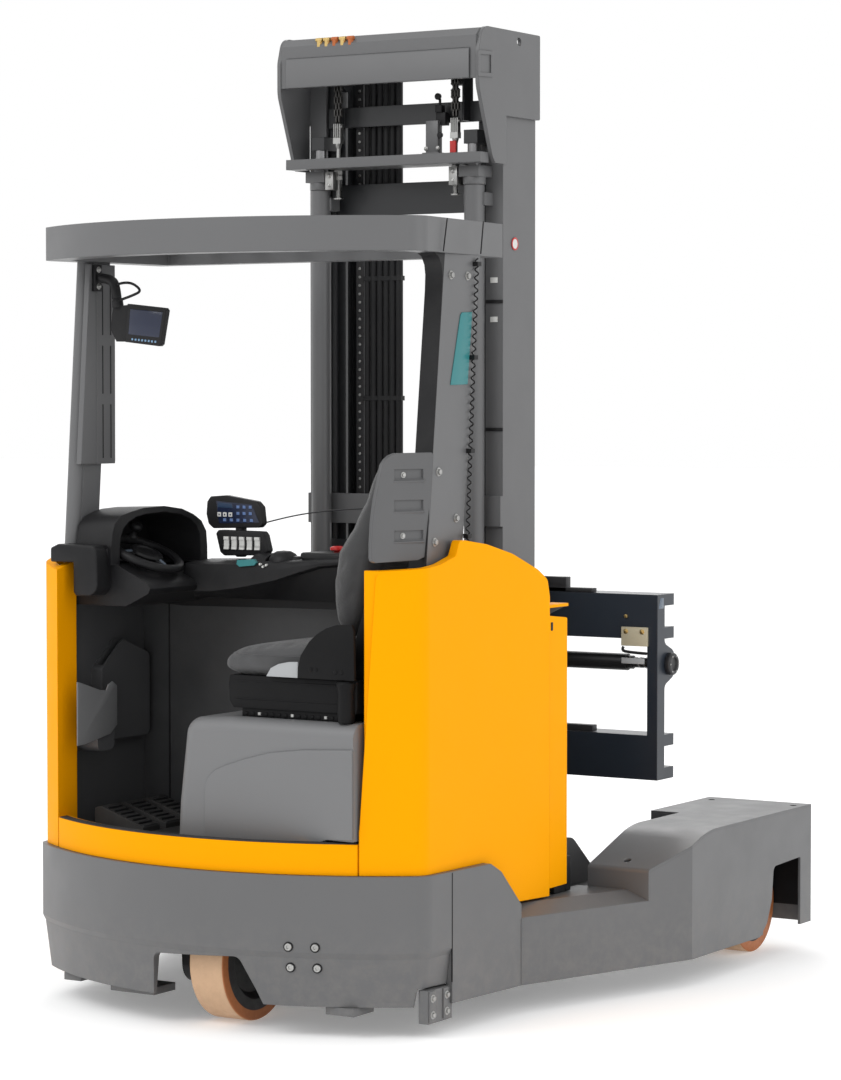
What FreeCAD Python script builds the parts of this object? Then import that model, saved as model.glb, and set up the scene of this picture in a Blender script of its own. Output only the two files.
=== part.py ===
"""Four-way reach truck as a parametric FreeCAD document.

Millimetres, +Z up, +X towards the forks, +Y to the left, which is the way the driver faces.
Everything is drawn from the drive wheel's axle (x = 0 above the axle, z = 0 on the floor), and
each sub-part's Placement then moves it back, so that the origin lies mid-length on the floor.
"""
import FreeCAD, Part
import math
import os
import Sketcher
from FreeCAD import Vector

doc = FreeCAD.newDocument("reach_truck")
sheet = doc.addObject("Spreadsheet::Sheet", "sizes")

# name, millimetres or degrees, what it measures
SIZES = [
    # wheels
    ("wheelbase", 1710, "drive axle to load axle"),
    ("drive_radius", 171.5, "drive wheel radius"),
    ("drive_width", 110, "drive wheel tread width"),
    ("drive_offset", 50, "how far the drive wheel stands right of the centreline"),
    ("load_radius", 142.5, "load wheel radius"),
    ("load_width", 100, "load wheel tread width"),
    ("load_track", 735, "centreline to the middle of a load wheel"),
    ("turn_room", 5.5, "least gap round a wheel as it steers"),
    ("axle_play", 0.3, "gap between an axle and its bore"),
    # chassis
    ("half_width", 685, "centreline to the chassis side where the arms spread"),
    ("rear_half_width", 648, "centreline to the chassis side at the rear corner"),
    ("rear_overhang", 224, "drive axle to the back of the bumper"),
    ("rear_curve", 1050, "radius of the bumper's back in plan"),
    ("bumper_wall", 36, "bumper plate"),
    ("bumper_crease", 216, "floor to the crease round the bumper"),
    ("bumper_step", 8, "how far the bumper steps in under its crease"),
    ("bumper_taper", 16, "how far the bumper tapers in below the step"),
    ("bumper_low", 84, "floor to the bumper's lower edge"),
    ("bumper_high", 438, "floor to the bumper's upper edge"),
    ("bumper_seam", 116, "drive axle to the joint of bumper and side plate"),
    ("side_low", 82, "floor to the side plate's lower edge"),
    ("plate", 20, "chassis plate"),
    ("bay_back", 440, "drive axle to the battery bay"),
    ("bay_front", 762, "drive axle to the bay's front"),
    ("bay_floor", 320, "floor to the battery bay's floor"),
    # arms
    ("flare_start", 442.5, "drive axle to where the arms spread"),
    ("flare_end", 1060, "drive axle to where the arms run straight again"),
    ("arm_half_width", 900, "centreline to the outside of an arm"),
    ("arm_inner", 548, "centreline to the inside of an arm"),
    ("arm_top", 270, "floor to the outer edge of an arm's low part"),
    ("arm_crown", 298, "floor to the inner edge of an arm's low part"),
    ("arm_tip", 1875, "drive axle to the arm's tip"),
    ("arm_wall", 8, "plate of the raised part of an arm"),
    ("cover_start", 900, "drive axle to the cover's lip"),
    ("cover_lip", 358, "floor to the top of the cover's lip"),
    ("cover_flat", 1160, "drive axle to where the cover is level"),
    ("cover_high", 447, "floor to the top of the cover"),
    ("cover_bend", 400, "radius of the bend in the cover"),
    ("cover_sheet", 5, "cover sheet"),
    ("cover_inner", 645, "centreline to the cover's inner edge"),
    ("cover_step", 1476, "drive axle to where the cover widens"),
    ("housing_back", 1400, "drive axle to the wheel housing"),
    ("swivel_low", 362, "floor to the underside of the swivel plate"),
    ("swivel_plate", 22, "swivel plate thickness"),
    ("swivel_pin", 36, "radius of the load wheel's swivel pin"),
    # reach
    ("rail_width", 63, "width of a reach rail"),
    ("rail_low", 130, "floor to a reach rail"),
    ("rail_height", 134, "height of a reach rail"),
    ("rail_back", 775, "drive axle to the rail's back end"),
    ("rail_web", 12, "rail web and flanges"),
    ("reach_room", 0.4, "gap between a roller and what it runs in"),
    # mast
    ("mast_half_width", 338, "centreline to the outer mast's side"),
    ("mast_back", 933, "drive axle to the back of the outer mast"),
    ("mast_depth", 190, "depth of the outer mast's channels"),
    ("mast_web", 14, "channel web"),
    ("mast_flange", 12, "channel flange"),
    ("mast_flange_width", 58, "width of a channel"),
    ("mast_low", 100, "floor to the foot of the mast"),
    ("mast_high", 2781, "floor to the top of the mast"),
    ("stage_step", 23, "each stage's outside lies this far inside the last"),
    ("stage_gap", 6, "gap between one stage's flanges and the next"),
    ("cylinder_radius", 30, "lift cylinder barrel"),
    ("rod_radius", 20, "piston rod"),
    ("rod_play", 0.5, "gap between rod and barrel"),
    ("cylinder_track", 268, "centreline to a lift cylinder"),
    ("cylinder_back", 886, "drive axle to the lift cylinders"),
    ("cylinder_high", 2330, "floor to the top of a barrel"),
    ("chain_track", 205, "centreline to a lift chain"),
    ("chain_back", 884, "drive axle to the lift chains"),
    ("sheave_radius", 26, "chain sheave"),
    # load end
    ("frame_half_width", 722, "centreline to the end of the fork frame"),
    ("frame_back", 1180, "drive axle to the back of the fork frame"),
    ("upper_rail_high", 1128, "floor to the top of the upper rail"),
    ("lower_rail_low", 579, "floor to the bottom of the lower rail"),
    ("frame_rail", 132, "height of each rail of the fork frame"),
    ("frame_depth", 60, "depth of each rail of the fork frame"),
    ("hook_depth", 52, "how far the rail ends stand forward"),
    ("end_plate", 34, "end plate of the fork frame"),
    ("rail_lip", 34, "height of a rail's lips"),
    ("shaft_radius", 25, "positioner shaft"),
    ("shaft_height", 920, "floor to the positioner shaft"),
    ("fork_length", 1000, "length of a fork blade"),
    ("fork_width", 110, "width of a fork"),
    ("fork_thickness", 45, "thickness of a fork at its heel"),
    ("fork_tip", 14, "thickness of a fork at its tip"),
    ("fork_spread", 115, "centreline to the middle of a fork"),
    ("fork_low", 530, "floor to the underside of a fork"),
    # cab
    ("deck", 438, "floor to the deck under the cab"),
    ("floor_high", 480, "floor to the top of the cab floor"),
    ("panel_outer", 662, "centreline to the outside of the body panels at their front"),
    ("panel_rear", 637, "centreline to the outside of the body panels at the rear corner"),
    ("panel_wall", 24, "body panel wall"),
    ("post_right", 490, "centreline to the right edge of the doorway"),
    ("post_left", 540, "centreline to the left edge of the doorway"),
    ("panel_front", 640, "drive axle to the front of the body panels"),
    ("front_wall", 405, "drive axle to the cab's front wall"),
    ("guard_half_width", 632, "centreline to the side of the guard"),
    ("guard_low", 2097, "floor to the guard's lower edge"),
    ("guard_high", 2190, "floor to the top of the guard"),
    ("guard_front", 505, "drive axle to the front of the guard"),
    ("post_foot", 1235, "floor to the ledge that the left posts stand on"),
    ("pillar_inner", 550, "centreline to the inside of the right pillar"),
    ("seat_middle", 140, "drive axle to the middle of the seat"),
    ("cushion_low", 955, "floor to the underside of the cushion"),
    ("cushion_high", 1052, "floor to the top of the cushion"),
]


class Size:
    """A measure that carries its number and the sheet expression that gives it."""

    def __init__(self, text, number):
        self.text = text
        self.number = number

    def __add__(self, other):
        other = measure(other)
        return Size(f"({self.text} + {other.text})", self.number + other.number)

    def __sub__(self, other):
        other = measure(other)
        return Size(f"({self.text} - {other.text})", self.number - other.number)

    def __mul__(self, other):
        other = measure(other)
        return Size(f"({self.text} * {other.text})", self.number * other.number)

    def __truediv__(self, other):
        other = measure(other)
        return Size(f"({self.text} / {other.text})", self.number / other.number)

    def __neg__(self):
        return Size(f"(-1 * {self.text})", -self.number)

    def __radd__(self, other):
        return measure(other) + self

    def __rsub__(self, other):
        return measure(other) - self

    def __rmul__(self, other):
        return measure(other) * self


def measure(value):
    """Any number or Size as a Size."""
    if isinstance(value, Size):
        return value
    return Size(f"{value:.6f}", float(value))


def root(value):
    """Square root of a Size."""
    value = measure(value)
    return Size(f"sqrt({value.text})", math.sqrt(value.number))


class Names:
    """The sheet's sizes as attributes, such as size.wheelbase."""


size = Names()
for row, (name, number, meaning) in enumerate(SIZES, start=1):
    sheet.set(f"A{row}", name)
    sheet.set(f"B{row}", str(number))
    sheet.set(f"C{row}", meaning)
    sheet.setAlias(f"B{row}", name)
    setattr(size, name, Size(f"sizes.{name}", float(number)))
doc.recompute()


# ---------------------------------------------------------------- helpers

def bind(thing, path, value):
    """Ties one property of an object to the sheet."""
    thing.setExpression(path, measure(value).text)


class Bow:
    """Between two corners of an outline: an arc of this radius, bulging to the given side."""

    def __init__(self, radius, side):
        self.radius = measure(radius)
        self.side = side


class Ring:
    """A whole circle in a sketch."""

    def __init__(self, u, v, radius):
        self.u = measure(u)
        self.v = measure(v)
        self.radius = measure(radius)


def pin_point(sketch, geometry, point, u, v):
    """Holds one sketch point at (u, v) from the sketch's origin."""
    for kind, value in (("DistanceX", u), ("DistanceY", v)):
        index = sketch.addConstraint(
            Sketcher.Constraint(kind, -1, 1, geometry, point, value.number))
        sketch.setExpression(f"Constraints[{index}]", value.text)


def draw_ring(sketch, ring):
    """A circle held by its centre and radius."""
    centre = Vector(ring.u.number, ring.v.number, 0)
    circle = sketch.addGeometry(Part.Circle(centre, Vector(0, 0, 1), ring.radius.number))
    pin_point(sketch, circle, 3, ring.u, ring.v)
    index = sketch.addConstraint(Sketcher.Constraint("Radius", circle, ring.radius.number))
    sketch.setExpression(f"Constraints[{index}]", ring.radius.text)


def draw_outline(sketch, outline):
    """A closed outline of straight and bowed edges.

    An entry is a corner (u, v), a rounded corner (u, v, radius) or a Bow between two corners.
    """
    corners = []
    bows = {}
    for entry in outline:
        if isinstance(entry, Bow):
            bows[len(corners) - 1] = entry
        else:
            corners.append([measure(value) for value in entry])
    count = len(corners)
    places = [Vector(c[0].number, c[1].number, 0) for c in corners]
    reach = [0.0] * count
    for i in range(count):
        if len(corners[i]) == 3:
            back = (places[i - 1] - places[i]).normalize()
            ahead = (places[(i + 1) % count] - places[i]).normalize()
            half = back.getAngle(ahead) / 2
            reach[i] = corners[i][2].number / math.tan(half)
    edges = []
    for i in range(count):
        j = (i + 1) % count
        along = (places[j] - places[i]).normalize()
        start = places[i] + along * reach[i]
        end = places[j] - along * reach[j]
        if i in bows:
            bow = bows[i]
            middle = (start + end) * 0.5
            half = (end - start).Length / 2
            rise = math.sqrt(bow.radius.number ** 2 - half ** 2)
            across = Vector(-along.y, along.x, 0) * bow.side
            centre = middle - across * rise
            first = math.atan2(start.y - centre.y, start.x - centre.x)
            last = math.atan2(end.y - centre.y, end.x - centre.x)
            clockwise = bow.side > 0
            if clockwise:
                first, last = last, first
            if last < first:
                last += 2 * math.pi
            circle = Part.Circle(centre, Vector(0, 0, 1), bow.radius.number)
            edge = sketch.addGeometry(Part.ArcOfCircle(circle, first, last))
            index = sketch.addConstraint(
                Sketcher.Constraint("Radius", edge, bow.radius.number))
            sketch.setExpression(f"Constraints[{index}]", bow.radius.text)
            edges.append((edge, 2, 1) if clockwise else (edge, 1, 2))
        else:
            edge = sketch.addGeometry(Part.LineSegment(start, end))
            edges.append((edge, 1, 2))
    for i in range(count):
        before, _, before_end = edges[i - 1]
        after, after_start, _ = edges[i]
        if len(corners[i]) == 2:
            sketch.addConstraint(
                Sketcher.Constraint("Coincident", before, before_end, after, after_start))
            pin_point(sketch, after, after_start, corners[i][0], corners[i][1])
            continue
        radius = corners[i][2]
        back = (places[i - 1] - places[i]).normalize()
        ahead = (places[(i + 1) % count] - places[i]).normalize()
        start = places[i] + back * reach[i]
        end = places[i] + ahead * reach[i]
        inwards = (back + ahead).normalize()
        centre = places[i] + inwards * math.hypot(radius.number, reach[i])
        first = math.atan2(start.y - centre.y, start.x - centre.x)
        last = math.atan2(end.y - centre.y, end.x - centre.x)
        turn = (last - first) % (2 * math.pi)
        clockwise = turn > math.pi
        if clockwise:
            first, last = last, first
        if last < first:
            last += 2 * math.pi
        circle = Part.Circle(centre, Vector(0, 0, 1), radius.number)
        arc = sketch.addGeometry(Part.ArcOfCircle(circle, first, last))
        arc_start, arc_end = (2, 1) if clockwise else (1, 2)
        sketch.addConstraint(Sketcher.Constraint("Tangent", before, before_end, arc, arc_start))
        sketch.addConstraint(Sketcher.Constraint("Tangent", arc, arc_end, after, after_start))
        index = sketch.addConstraint(Sketcher.Constraint("Radius", arc, radius.number))
        sketch.setExpression(f"Constraints[{index}]", radius.text)
        corner = sketch.addGeometry(Part.Point(places[i]), True)
        pin_point(sketch, corner, 1, corners[i][0], corners[i][1])
        sketch.addConstraint(Sketcher.Constraint("PointOnObject", corner, 1, before))
        sketch.addConstraint(Sketcher.Constraint("PointOnObject", corner, 1, after))


def draw(body, plane, outlines, place):
    """A sketch in the body's own XY, XZ or YZ plane, moved to the given place along its normal."""
    role = f"{plane}_Plane"
    support = [feature for feature in body.Origin.OriginFeatures if feature.Role == role][0]
    sketch = body.newObject("Sketcher::SketchObject", f"{body.Name}_sketch")
    sketch.AttachmentSupport = (support, [""])
    sketch.MapMode = "FlatFace"
    bind(sketch, "AttachmentOffset.Base.z", -measure(place) if plane == "XZ" else place)
    for outline in outlines:
        if isinstance(outline, Ring):
            draw_ring(sketch, outline)
        else:
            draw_outline(sketch, outline)
    return sketch


def add_pad(body, plane, outlines, low, high):
    """Adds material between two places along the plane's normal."""
    low = measure(low)
    high = measure(high)
    sketch = draw(body, plane, outlines, high if plane == "XZ" else low)
    pad = body.newObject("PartDesign::Pad", f"{body.Name}_pad")
    pad.Profile = sketch
    bind(pad, "Length", high - low)
    body.Tip = pad
    doc.recompute()
    return pad


def add_pocket(body, plane, outlines, low, high):
    """Takes material away between two places along the plane's normal."""
    low = measure(low)
    high = measure(high)
    before = body.Tip.Shape.Volume
    sketch = draw(body, plane, outlines, low if plane == "XZ" else high)
    pocket = body.newObject("PartDesign::Pocket", f"{body.Name}_pocket")
    pocket.Profile = sketch
    bind(pocket, "Length", high - low)
    body.Tip = pocket
    doc.recompute()
    if not body.Tip.Shape.Volume < before:
        raise RuntimeError(f"{body.Label}: a pocket cuts nothing")
    return pocket


def new_body(name):
    """An empty body."""
    return doc.addObject("PartDesign::Body", name)


def slab(name, plane, outlines, low, high):
    """A body with one pad."""
    body = new_body(name)
    add_pad(body, plane, outlines, low, high)
    return body


def turned(name, plane, outline, angle=360):
    """A body turned about the vertical axis of its sketch."""
    body = new_body(name)
    sketch = draw(body, plane, [outline], 0)
    turn = body.newObject("PartDesign::Revolution", f"{body.Name}_turn")
    turn.Profile = sketch
    turn.ReferenceAxis = (sketch, ["V_Axis"])
    turn.Angle = angle
    body.Tip = turn
    doc.recompute()
    return body


def dress(body, kind, amount, pick, across=None, flip=False):
    """Rounds (Fillet) or bevels (Chamfer) the edges that pick chooses.

    A bevel with a second distance goes that far across the other face.
    """
    base = body.Tip
    names = [f"Edge{i}" for i, edge in enumerate(base.Shape.Edges, start=1) if pick(edge)]
    if not names:
        raise RuntimeError(f"{body.Label}: no edge to dress")
    feature = body.newObject(f"PartDesign::{kind}", f"{body.Name}_{kind.lower()}")
    feature.Base = (base, names)
    bind(feature, "Radius" if kind == "Fillet" else "Size", amount)
    if across is not None:
        feature.ChamferType = "Two distances"
        bind(feature, "Size2", across)
        feature.FlipDirection = flip
    body.Tip = feature
    doc.recompute()
    return feature


def along(axis, *spots, near=1.0):
    """Picks straight edges parallel to an axis at the given places in the other two axes."""
    index = "XYZ".index(axis)
    others = [i for i in range(3) if i != index]
    wanted = [[measure(value).number for value in spot] for spot in spots]

    def pick(edge):
        if len(edge.Vertexes) != 2:
            return False
        first, last = edge.Vertexes[0].Point, edge.Vertexes[1].Point
        run = last - first
        if run.Length < 1e-6 or abs(abs(run[index]) - run.Length) > 1e-4:
            return False
        if not wanted:
            return True
        place = [first[i] for i in others]
        return any(math.dist(place, spot) < near for spot in wanted)
    return pick


def joining(first, last, near=1.0):
    """Picks the straight edge that joins two points."""
    ends = [[measure(value).number for value in spot] for spot in (first, last)]

    def pick(edge):
        if len(edge.Vertexes) != 2:
            return False
        tips = [tuple(vertex.Point) for vertex in edge.Vertexes]
        return any(math.dist(tips[0], one) < near and math.dist(tips[1], other) < near
                   for one, other in (ends, ends[::-1]))
    return pick


def box(name, x, y, z):
    """A Part box from three (low, high) pairs."""
    thing = doc.addObject("Part::Box", name)
    for side, axis, (low, high) in (("Length", "x", x), ("Width", "y", y), ("Height", "z", z)):
        low = measure(low)
        bind(thing, side, measure(high) - low)
        bind(thing, f"Placement.Base.{axis}", low)
    return thing


TURNS = {
    "z": FreeCAD.Rotation(),
    "x": FreeCAD.Rotation(Vector(0, 1, 0), 90),
    "y": FreeCAD.Rotation(Vector(1, 0, 0), -90),
}


def rod(name, axis, radius, low, high, **centre):
    """A Part cylinder along an axis from low to high, its centre given in the other two."""
    thing = doc.addObject("Part::Cylinder", name)
    thing.Placement = FreeCAD.Placement(Vector(), TURNS[axis])
    bind(thing, "Radius", radius)
    bind(thing, "Height", measure(high) - measure(low))
    bind(thing, f"Placement.Base.{axis}", low)
    for other, value in centre.items():
        bind(thing, f"Placement.Base.{other}", value)
    return thing


def fuse(name, *things):
    """Several objects as one."""
    whole = doc.addObject("Part::MultiFuse", name)
    whole.Shapes = list(things)
    whole.Refine = True
    return whole


def cut(name, base, *tools):
    """One object less others."""
    tool = tools[0] if len(tools) == 1 else fuse(f"{name}_tools", *tools)
    rest = doc.addObject("Part::Cut", name)
    rest.Base = base
    rest.Tool = tool
    rest.Refine = True
    return rest


def common(name, *things):
    """What several objects share."""
    shared = doc.addObject("Part::MultiCommon", name)
    shared.Shapes = list(things)
    shared.Refine = True
    return shared


def group(name, *things):
    """Separate solids of one sub-part, kept side by side."""
    whole = doc.addObject("Part::Compound", name)
    whole.Links = list(things)
    return whole


def mirrored(name, source):
    """The same piece on the other side of the truck."""
    twin = doc.addObject("Part::Mirroring", name)
    twin.Source = source
    twin.Normal = Vector(0, 1, 0)
    return twin


nodes = {}
mirror_nodes = {}


places = {}


def node(name, thing, x=0):
    """Registers a finished sub-part under the name of its file, x being its own place so far."""
    thing.Label = name
    nodes[name] = thing
    places[name] = measure(x)
    return thing


def twin_nodes(name, thing, x=0):
    """The right-hand piece and its mirror image on the left."""
    node(f"right_{name}", thing, x)
    mirror_nodes[f"left_{name}"] = thing


def rear(y, inset=0):
    """Where the truck's curved back lies, the given distance inside it, at this y."""
    centre = size.rear_curve - size.rear_overhang
    radius = size.rear_curve - inset
    return centre - root(radius * radius - measure(y) * measure(y))


# ---------------------------------------------------------------- driving places

fork_face = size.frame_back + size.hook_depth + 58
fork_end = fork_face + size.fork_thickness + size.fork_length
mid_length = (fork_end - size.rear_overhang) / 2
load_swing = root(size.load_radius * size.load_radius + size.load_width * size.load_width / 4)
load_swing = load_swing + size.turn_room
crown_gap = 7


# ---------------------------------------------------------------- chassis

def side_at(x):
    """How far the chassis side stands out at this x: it spreads a little towards the arms."""
    share = measure(x) / size.flare_start
    return size.rear_half_width + (size.half_width - size.rear_half_width) * share


def bumper_band(name, inset, low, high, rise, taper):
    """One height of the bumper's curved plate, its outer lower edge bevelled."""
    side = size.rear_half_width - inset
    seam = side_at(size.bumper_seam) - inset
    inner = size.rear_half_width - size.bumper_wall
    seam_inner = side_at(size.bumper_seam) - size.bumper_wall
    inner_corner = rear(inner, size.bumper_wall)
    body = slab(name, "XY", [[
        (size.bumper_seam, -seam), (rear(side, inset), -side),
        Bow(size.rear_curve - inset, 1), (rear(side, inset), side), (size.bumper_seam, seam),
        (size.bumper_seam, seam_inner), (inner_corner, inner),
        Bow(size.rear_curve - size.bumper_wall, -1), (inner_corner, -inner),
        (size.bumper_seam, -seam_inner),
    ]], low, high)
    corner = rear(side, inset)
    dress(body, "Fillet", 60 - inset, along("Z", (corner, -side), (corner, side)))
    dress(body, "Fillet", 60 - size.bumper_wall,
          along("Z", (inner_corner, -inner), (inner_corner, inner)))

    def outer_foot(edge):
        spot = edge.valueAt((edge.FirstParameter + edge.LastParameter) / 2)
        if edge.BoundBox.ZMax > measure(low).number + 0.1:
            return False
        if spot.x > size.bumper_seam.number - 1:
            return False
        sideways = abs(spot.y) > inner.number + 8
        return sideways or spot.x < rear(spot.y, size.bumper_wall / 2).number

    dress(body, "Chamfer", rise, outer_foot, taper, flip=True)
    return body


def make_rear_bumper():
    """Thick curved plate round the back, stepped and tapered under its crease, with an arch."""
    low = size.bumper_low
    side = size.rear_half_width
    upper = bumper_band("upper_bumper", 0, size.bumper_crease, size.bumper_high, 16,
                        size.bumper_step - 0.1)
    lower = bumper_band("lower_bumper", size.bumper_step, low, size.bumper_crease,
                        size.bumper_crease - low - 4, size.bumper_taper)
    add_pocket(lower, "YZ", [[
        (-240, low - 1), (-222, low + 41), (-178, low + 128, 25), (95, low + 116, 20),
        (106, low - 1),
    ]], -size.rear_overhang - 10, 0)
    add_pocket(lower, "XZ", [[
        (0, low - 1), (0, low + 51, 8), (size.bumper_seam + 1, low + 51),
        (size.bumper_seam + 1, low - 1),
    ]], -side - 30, -560)
    node("rear_bumper", fuse("rear_bumper_solid", upper, lower))


def make_chassis_frame():
    """Side plates, deck with the steering ring's bore, and the battery bay."""
    seam = side_at(size.bumper_seam)
    plates = []
    for side in (-1, 1):
        plate = slab("side_plate", "XY", [[
            (size.bumper_seam, side * seam), (size.flare_start, side * size.half_width),
            (size.flare_start, side * (size.half_width - size.plate)),
            (size.bumper_seam, side * (seam - size.plate)),
        ]], size.side_low, size.deck)
        add_pocket(plate, "XZ", [[
            (size.flare_start + 1, size.arm_crown + 8), (432, size.arm_crown + 20, 20),
            (345, size.deck - 27, 30), (size.bay_back - 145, size.deck),
            (size.bay_back - 145, size.deck + 9), (size.flare_start + 1, size.deck + 9),
        ]], -size.half_width - 1, size.half_width + 1)
        plates.append(plate)
    bracket_side = -size.rear_half_width
    plates.append(box("corner_bracket", (8, size.bumper_seam + 14),
                      (bracket_side, bracket_side + 30), (40, size.bumper_low + 46)))
    edge = size.rear_half_width - size.bumper_wall - 6
    bay_side = size.panel_rear - size.panel_wall - 8
    back_plate = size.bay_back - size.plate
    deck = slab("deck_plate", "XY", [[
        (back_plate, -edge), (rear(edge, 40), -edge), Bow(size.rear_curve - 40, 1),
        (rear(edge, 40), edge), (back_plate, edge),
    ], Ring(0, -size.drive_offset, 150)], size.deck - size.plate, size.deck)
    ring = cut("steer_ring",
               rod("steer_ring_outside", "z", 170, size.deck - 80, size.deck - 10,
                   y=-size.drive_offset),
               rod("steer_ring_bore", "z", 150, size.deck - 90, size.deck + 1,
                   y=-size.drive_offset))
    bulkhead = box("bulkhead", (back_plate, size.bay_back), (-bay_side, bay_side),
                   (size.side_low, 1090))
    floor = box("bay_floor_plate", (size.bay_back, size.bay_front), (-bay_side, bay_side),
                (size.arm_top, size.arm_top + size.plate))
    front = box("bay_front_plate", (size.bay_front - size.plate, size.bay_front),
                (-size.arm_inner, size.arm_inner), (size.side_low, size.arm_top))
    lip = box("bay_lip", (size.bay_front - 14, size.bay_front), (-bay_side, bay_side),
              (size.arm_top, 420))
    link_front = size.bay_back - 145
    link = [slab("deck_side", "XY", [[
        (size.bumper_seam, side * (edge - 2)), (link_front, side * (edge - 2)),
        (link_front, side * (side_at(link_front) - size.plate + 1)),
        (size.bumper_seam, side * (seam - size.plate + 1)),
    ]], size.deck - size.plate, size.deck) for side in (-1, 1)]
    node("chassis_frame",
         fuse("chassis_frame", deck, ring, bulkhead, floor, front, lip, *plates, *link))


def make_arm():
    """Wheel arm: a low box, a raised hollow part under the cover and the load wheel's housing."""
    outer = -size.arm_half_width
    inner = -size.arm_inner
    sheet_low = size.cover_high - size.cover_sheet
    run = (size.cover_start - size.flare_start) / (size.flare_end - size.flare_start)
    lip_side = -size.half_width - run * (size.arm_half_width - size.half_width)
    wall = size.arm_wall
    body = new_body("right_arm")
    add_pad(body, "XY", [[
        (size.flare_start, -size.half_width), (size.flare_end, outer), (size.arm_tip, outer),
        (size.arm_tip, inner), (size.flare_start, inner),
    ]], size.side_low, size.arm_top)
    crown_front = size.cover_start - size.cover_sheet - 0.3
    crown_inner = size.rear_half_width - 36
    crown_run = (crown_front - size.flare_start) / (size.flare_end - size.flare_start)
    crown_side = -size.half_width - crown_run * (size.arm_half_width - size.half_width)
    crown = slab("arm_crown", "XY", [[
        (size.flare_start, -size.half_width), (crown_front, crown_side),
        (crown_front, -crown_inner), (size.flare_start, -crown_inner),
    ]], size.arm_top - 1, size.arm_crown)
    outer_edge = joining((size.flare_start, -size.half_width, size.arm_crown),
                         (crown_front, crown_side, size.arm_crown))
    dress(crown, "Chamfer", size.arm_crown - size.arm_top, outer_edge, 66)
    add_pad(body, "XY", [[
        (size.cover_start, lip_side), (size.flare_end, outer), (size.arm_tip, outer),
        (size.arm_tip, inner), (size.cover_step, inner), (size.cover_step, -size.cover_inner),
        (size.cover_start, -size.cover_inner),
    ]], size.arm_top, sheet_low)
    add_pocket(body, "XZ", [[
        (size.cover_start - 1, size.cover_lip - size.cover_sheet),
        (size.cover_start, size.cover_lip - size.cover_sheet),
        (size.cover_flat, sheet_low, size.cover_bend - size.cover_sheet),
        (size.cover_flat + 100, sheet_low), (size.cover_flat + 100, sheet_low + 9),
        (size.cover_start - 1, sheet_low + 9),
    ]], outer - 1, inner + 1)
    add_pocket(body, "XY", [[
        (size.cover_start + wall, lip_side + wall), (size.flare_end, outer + wall),
        (size.housing_back, outer + wall), (size.housing_back, -size.cover_inner - wall),
        (size.cover_start + wall, -size.cover_inner - wall),
    ]], size.arm_top, sheet_low + 9)
    swivel_high = size.swivel_low + size.swivel_plate
    add_pocket(body, "XY", [[
        (size.housing_back + 12, outer + wall), (size.arm_tip - wall, outer + wall),
        (size.arm_tip - wall, inner - wall), (size.cover_step + wall, inner - wall),
        (size.cover_step + wall, -size.cover_inner - wall),
        (size.housing_back + 12, -size.cover_inner - wall),
    ]], swivel_high, sheet_low + 9)
    add_pocket(body, "XY", [[
        (size.wheelbase - load_swing, outer + wall), (size.arm_tip - wall, outer + wall),
        (size.arm_tip - wall, inner - wall), (size.wheelbase - load_swing, inner - wall),
    ]], size.side_low - 1, size.swivel_low)
    add_pocket(body, "XY", [Ring(size.wheelbase, -size.load_track,
                                 size.swivel_pin + size.axle_play)],
               size.swivel_low - 1, swivel_high + 1)
    arch_back = size.wheelbase - 103
    arch_front = size.wheelbase + 88
    add_pocket(body, "XZ", [[
        (arch_back - 95, size.side_low - 1), (arch_back - 45, 118), (arch_back - 12, 185),
        (arch_back, 285, 20), (arch_front, 292, 8), (arch_front, size.side_low - 1),
    ]], outer - 1, outer + wall + 1)
    twin_nodes("arm", fuse("right_arm_solid", body, crown))
    plan = slab("cover_plan", "XY", [[
        (size.cover_start - size.cover_sheet, lip_side), (size.cover_start, lip_side),
        (size.flare_end, outer), (size.arm_tip, outer), (size.arm_tip, inner),
        (size.cover_step, inner), (size.cover_step, -size.cover_inner),
        (size.cover_start - size.cover_sheet, -size.cover_inner),
    ], Ring(943, -750, 11), Ring(size.arm_tip - 63, inner - 39, 11),
        Ring(size.arm_tip - 62, outer + 32, 11)], size.arm_top, size.cover_high + 1)
    bent = slab("cover_bend", "XZ", [[
        (size.cover_start - size.cover_sheet, size.arm_top),
        (size.cover_start - size.cover_sheet, size.cover_lip, 14),
        (size.cover_flat, size.cover_high, size.cover_bend),
        (size.arm_tip, size.cover_high), (size.arm_tip, sheet_low),
        (size.cover_flat, sheet_low, size.cover_bend - size.cover_sheet),
        (size.cover_start, size.cover_lip - size.cover_sheet),
        (size.cover_start, size.arm_top),
    ]], outer - 1, inner + 1)
    twin_nodes("arm_cover", common("right_arm_cover", plan, bent))
    low, high = size.rail_low, size.rail_low + size.rail_height
    web = size.rail_web
    edge = inner + size.rail_width
    rail = slab("right_reach_rail", "YZ", [[
        (inner, low), (edge, low), (edge, low + web), (inner + web, low + web),
        (inner + web, high - web), (edge, high - web), (edge, high), (inner, high),
    ]], size.rail_back, size.arm_tip - 10)
    twin_nodes("reach_rail", rail)


def make_battery():
    """The traction battery, the truck's heavy mass, as one block in its bay."""
    body = slab("battery", "XY", [[
        (size.bay_back + 6, -600), (size.bay_front - 22, -600),
        (size.bay_front - 22, 600), (size.bay_back + 6, 600),
    ]], size.arm_top + size.plate, 1075)
    dress(body, "Chamfer", 6, along("Z"))
    node("battery", body)


# ---------------------------------------------------------------- wheels

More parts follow.
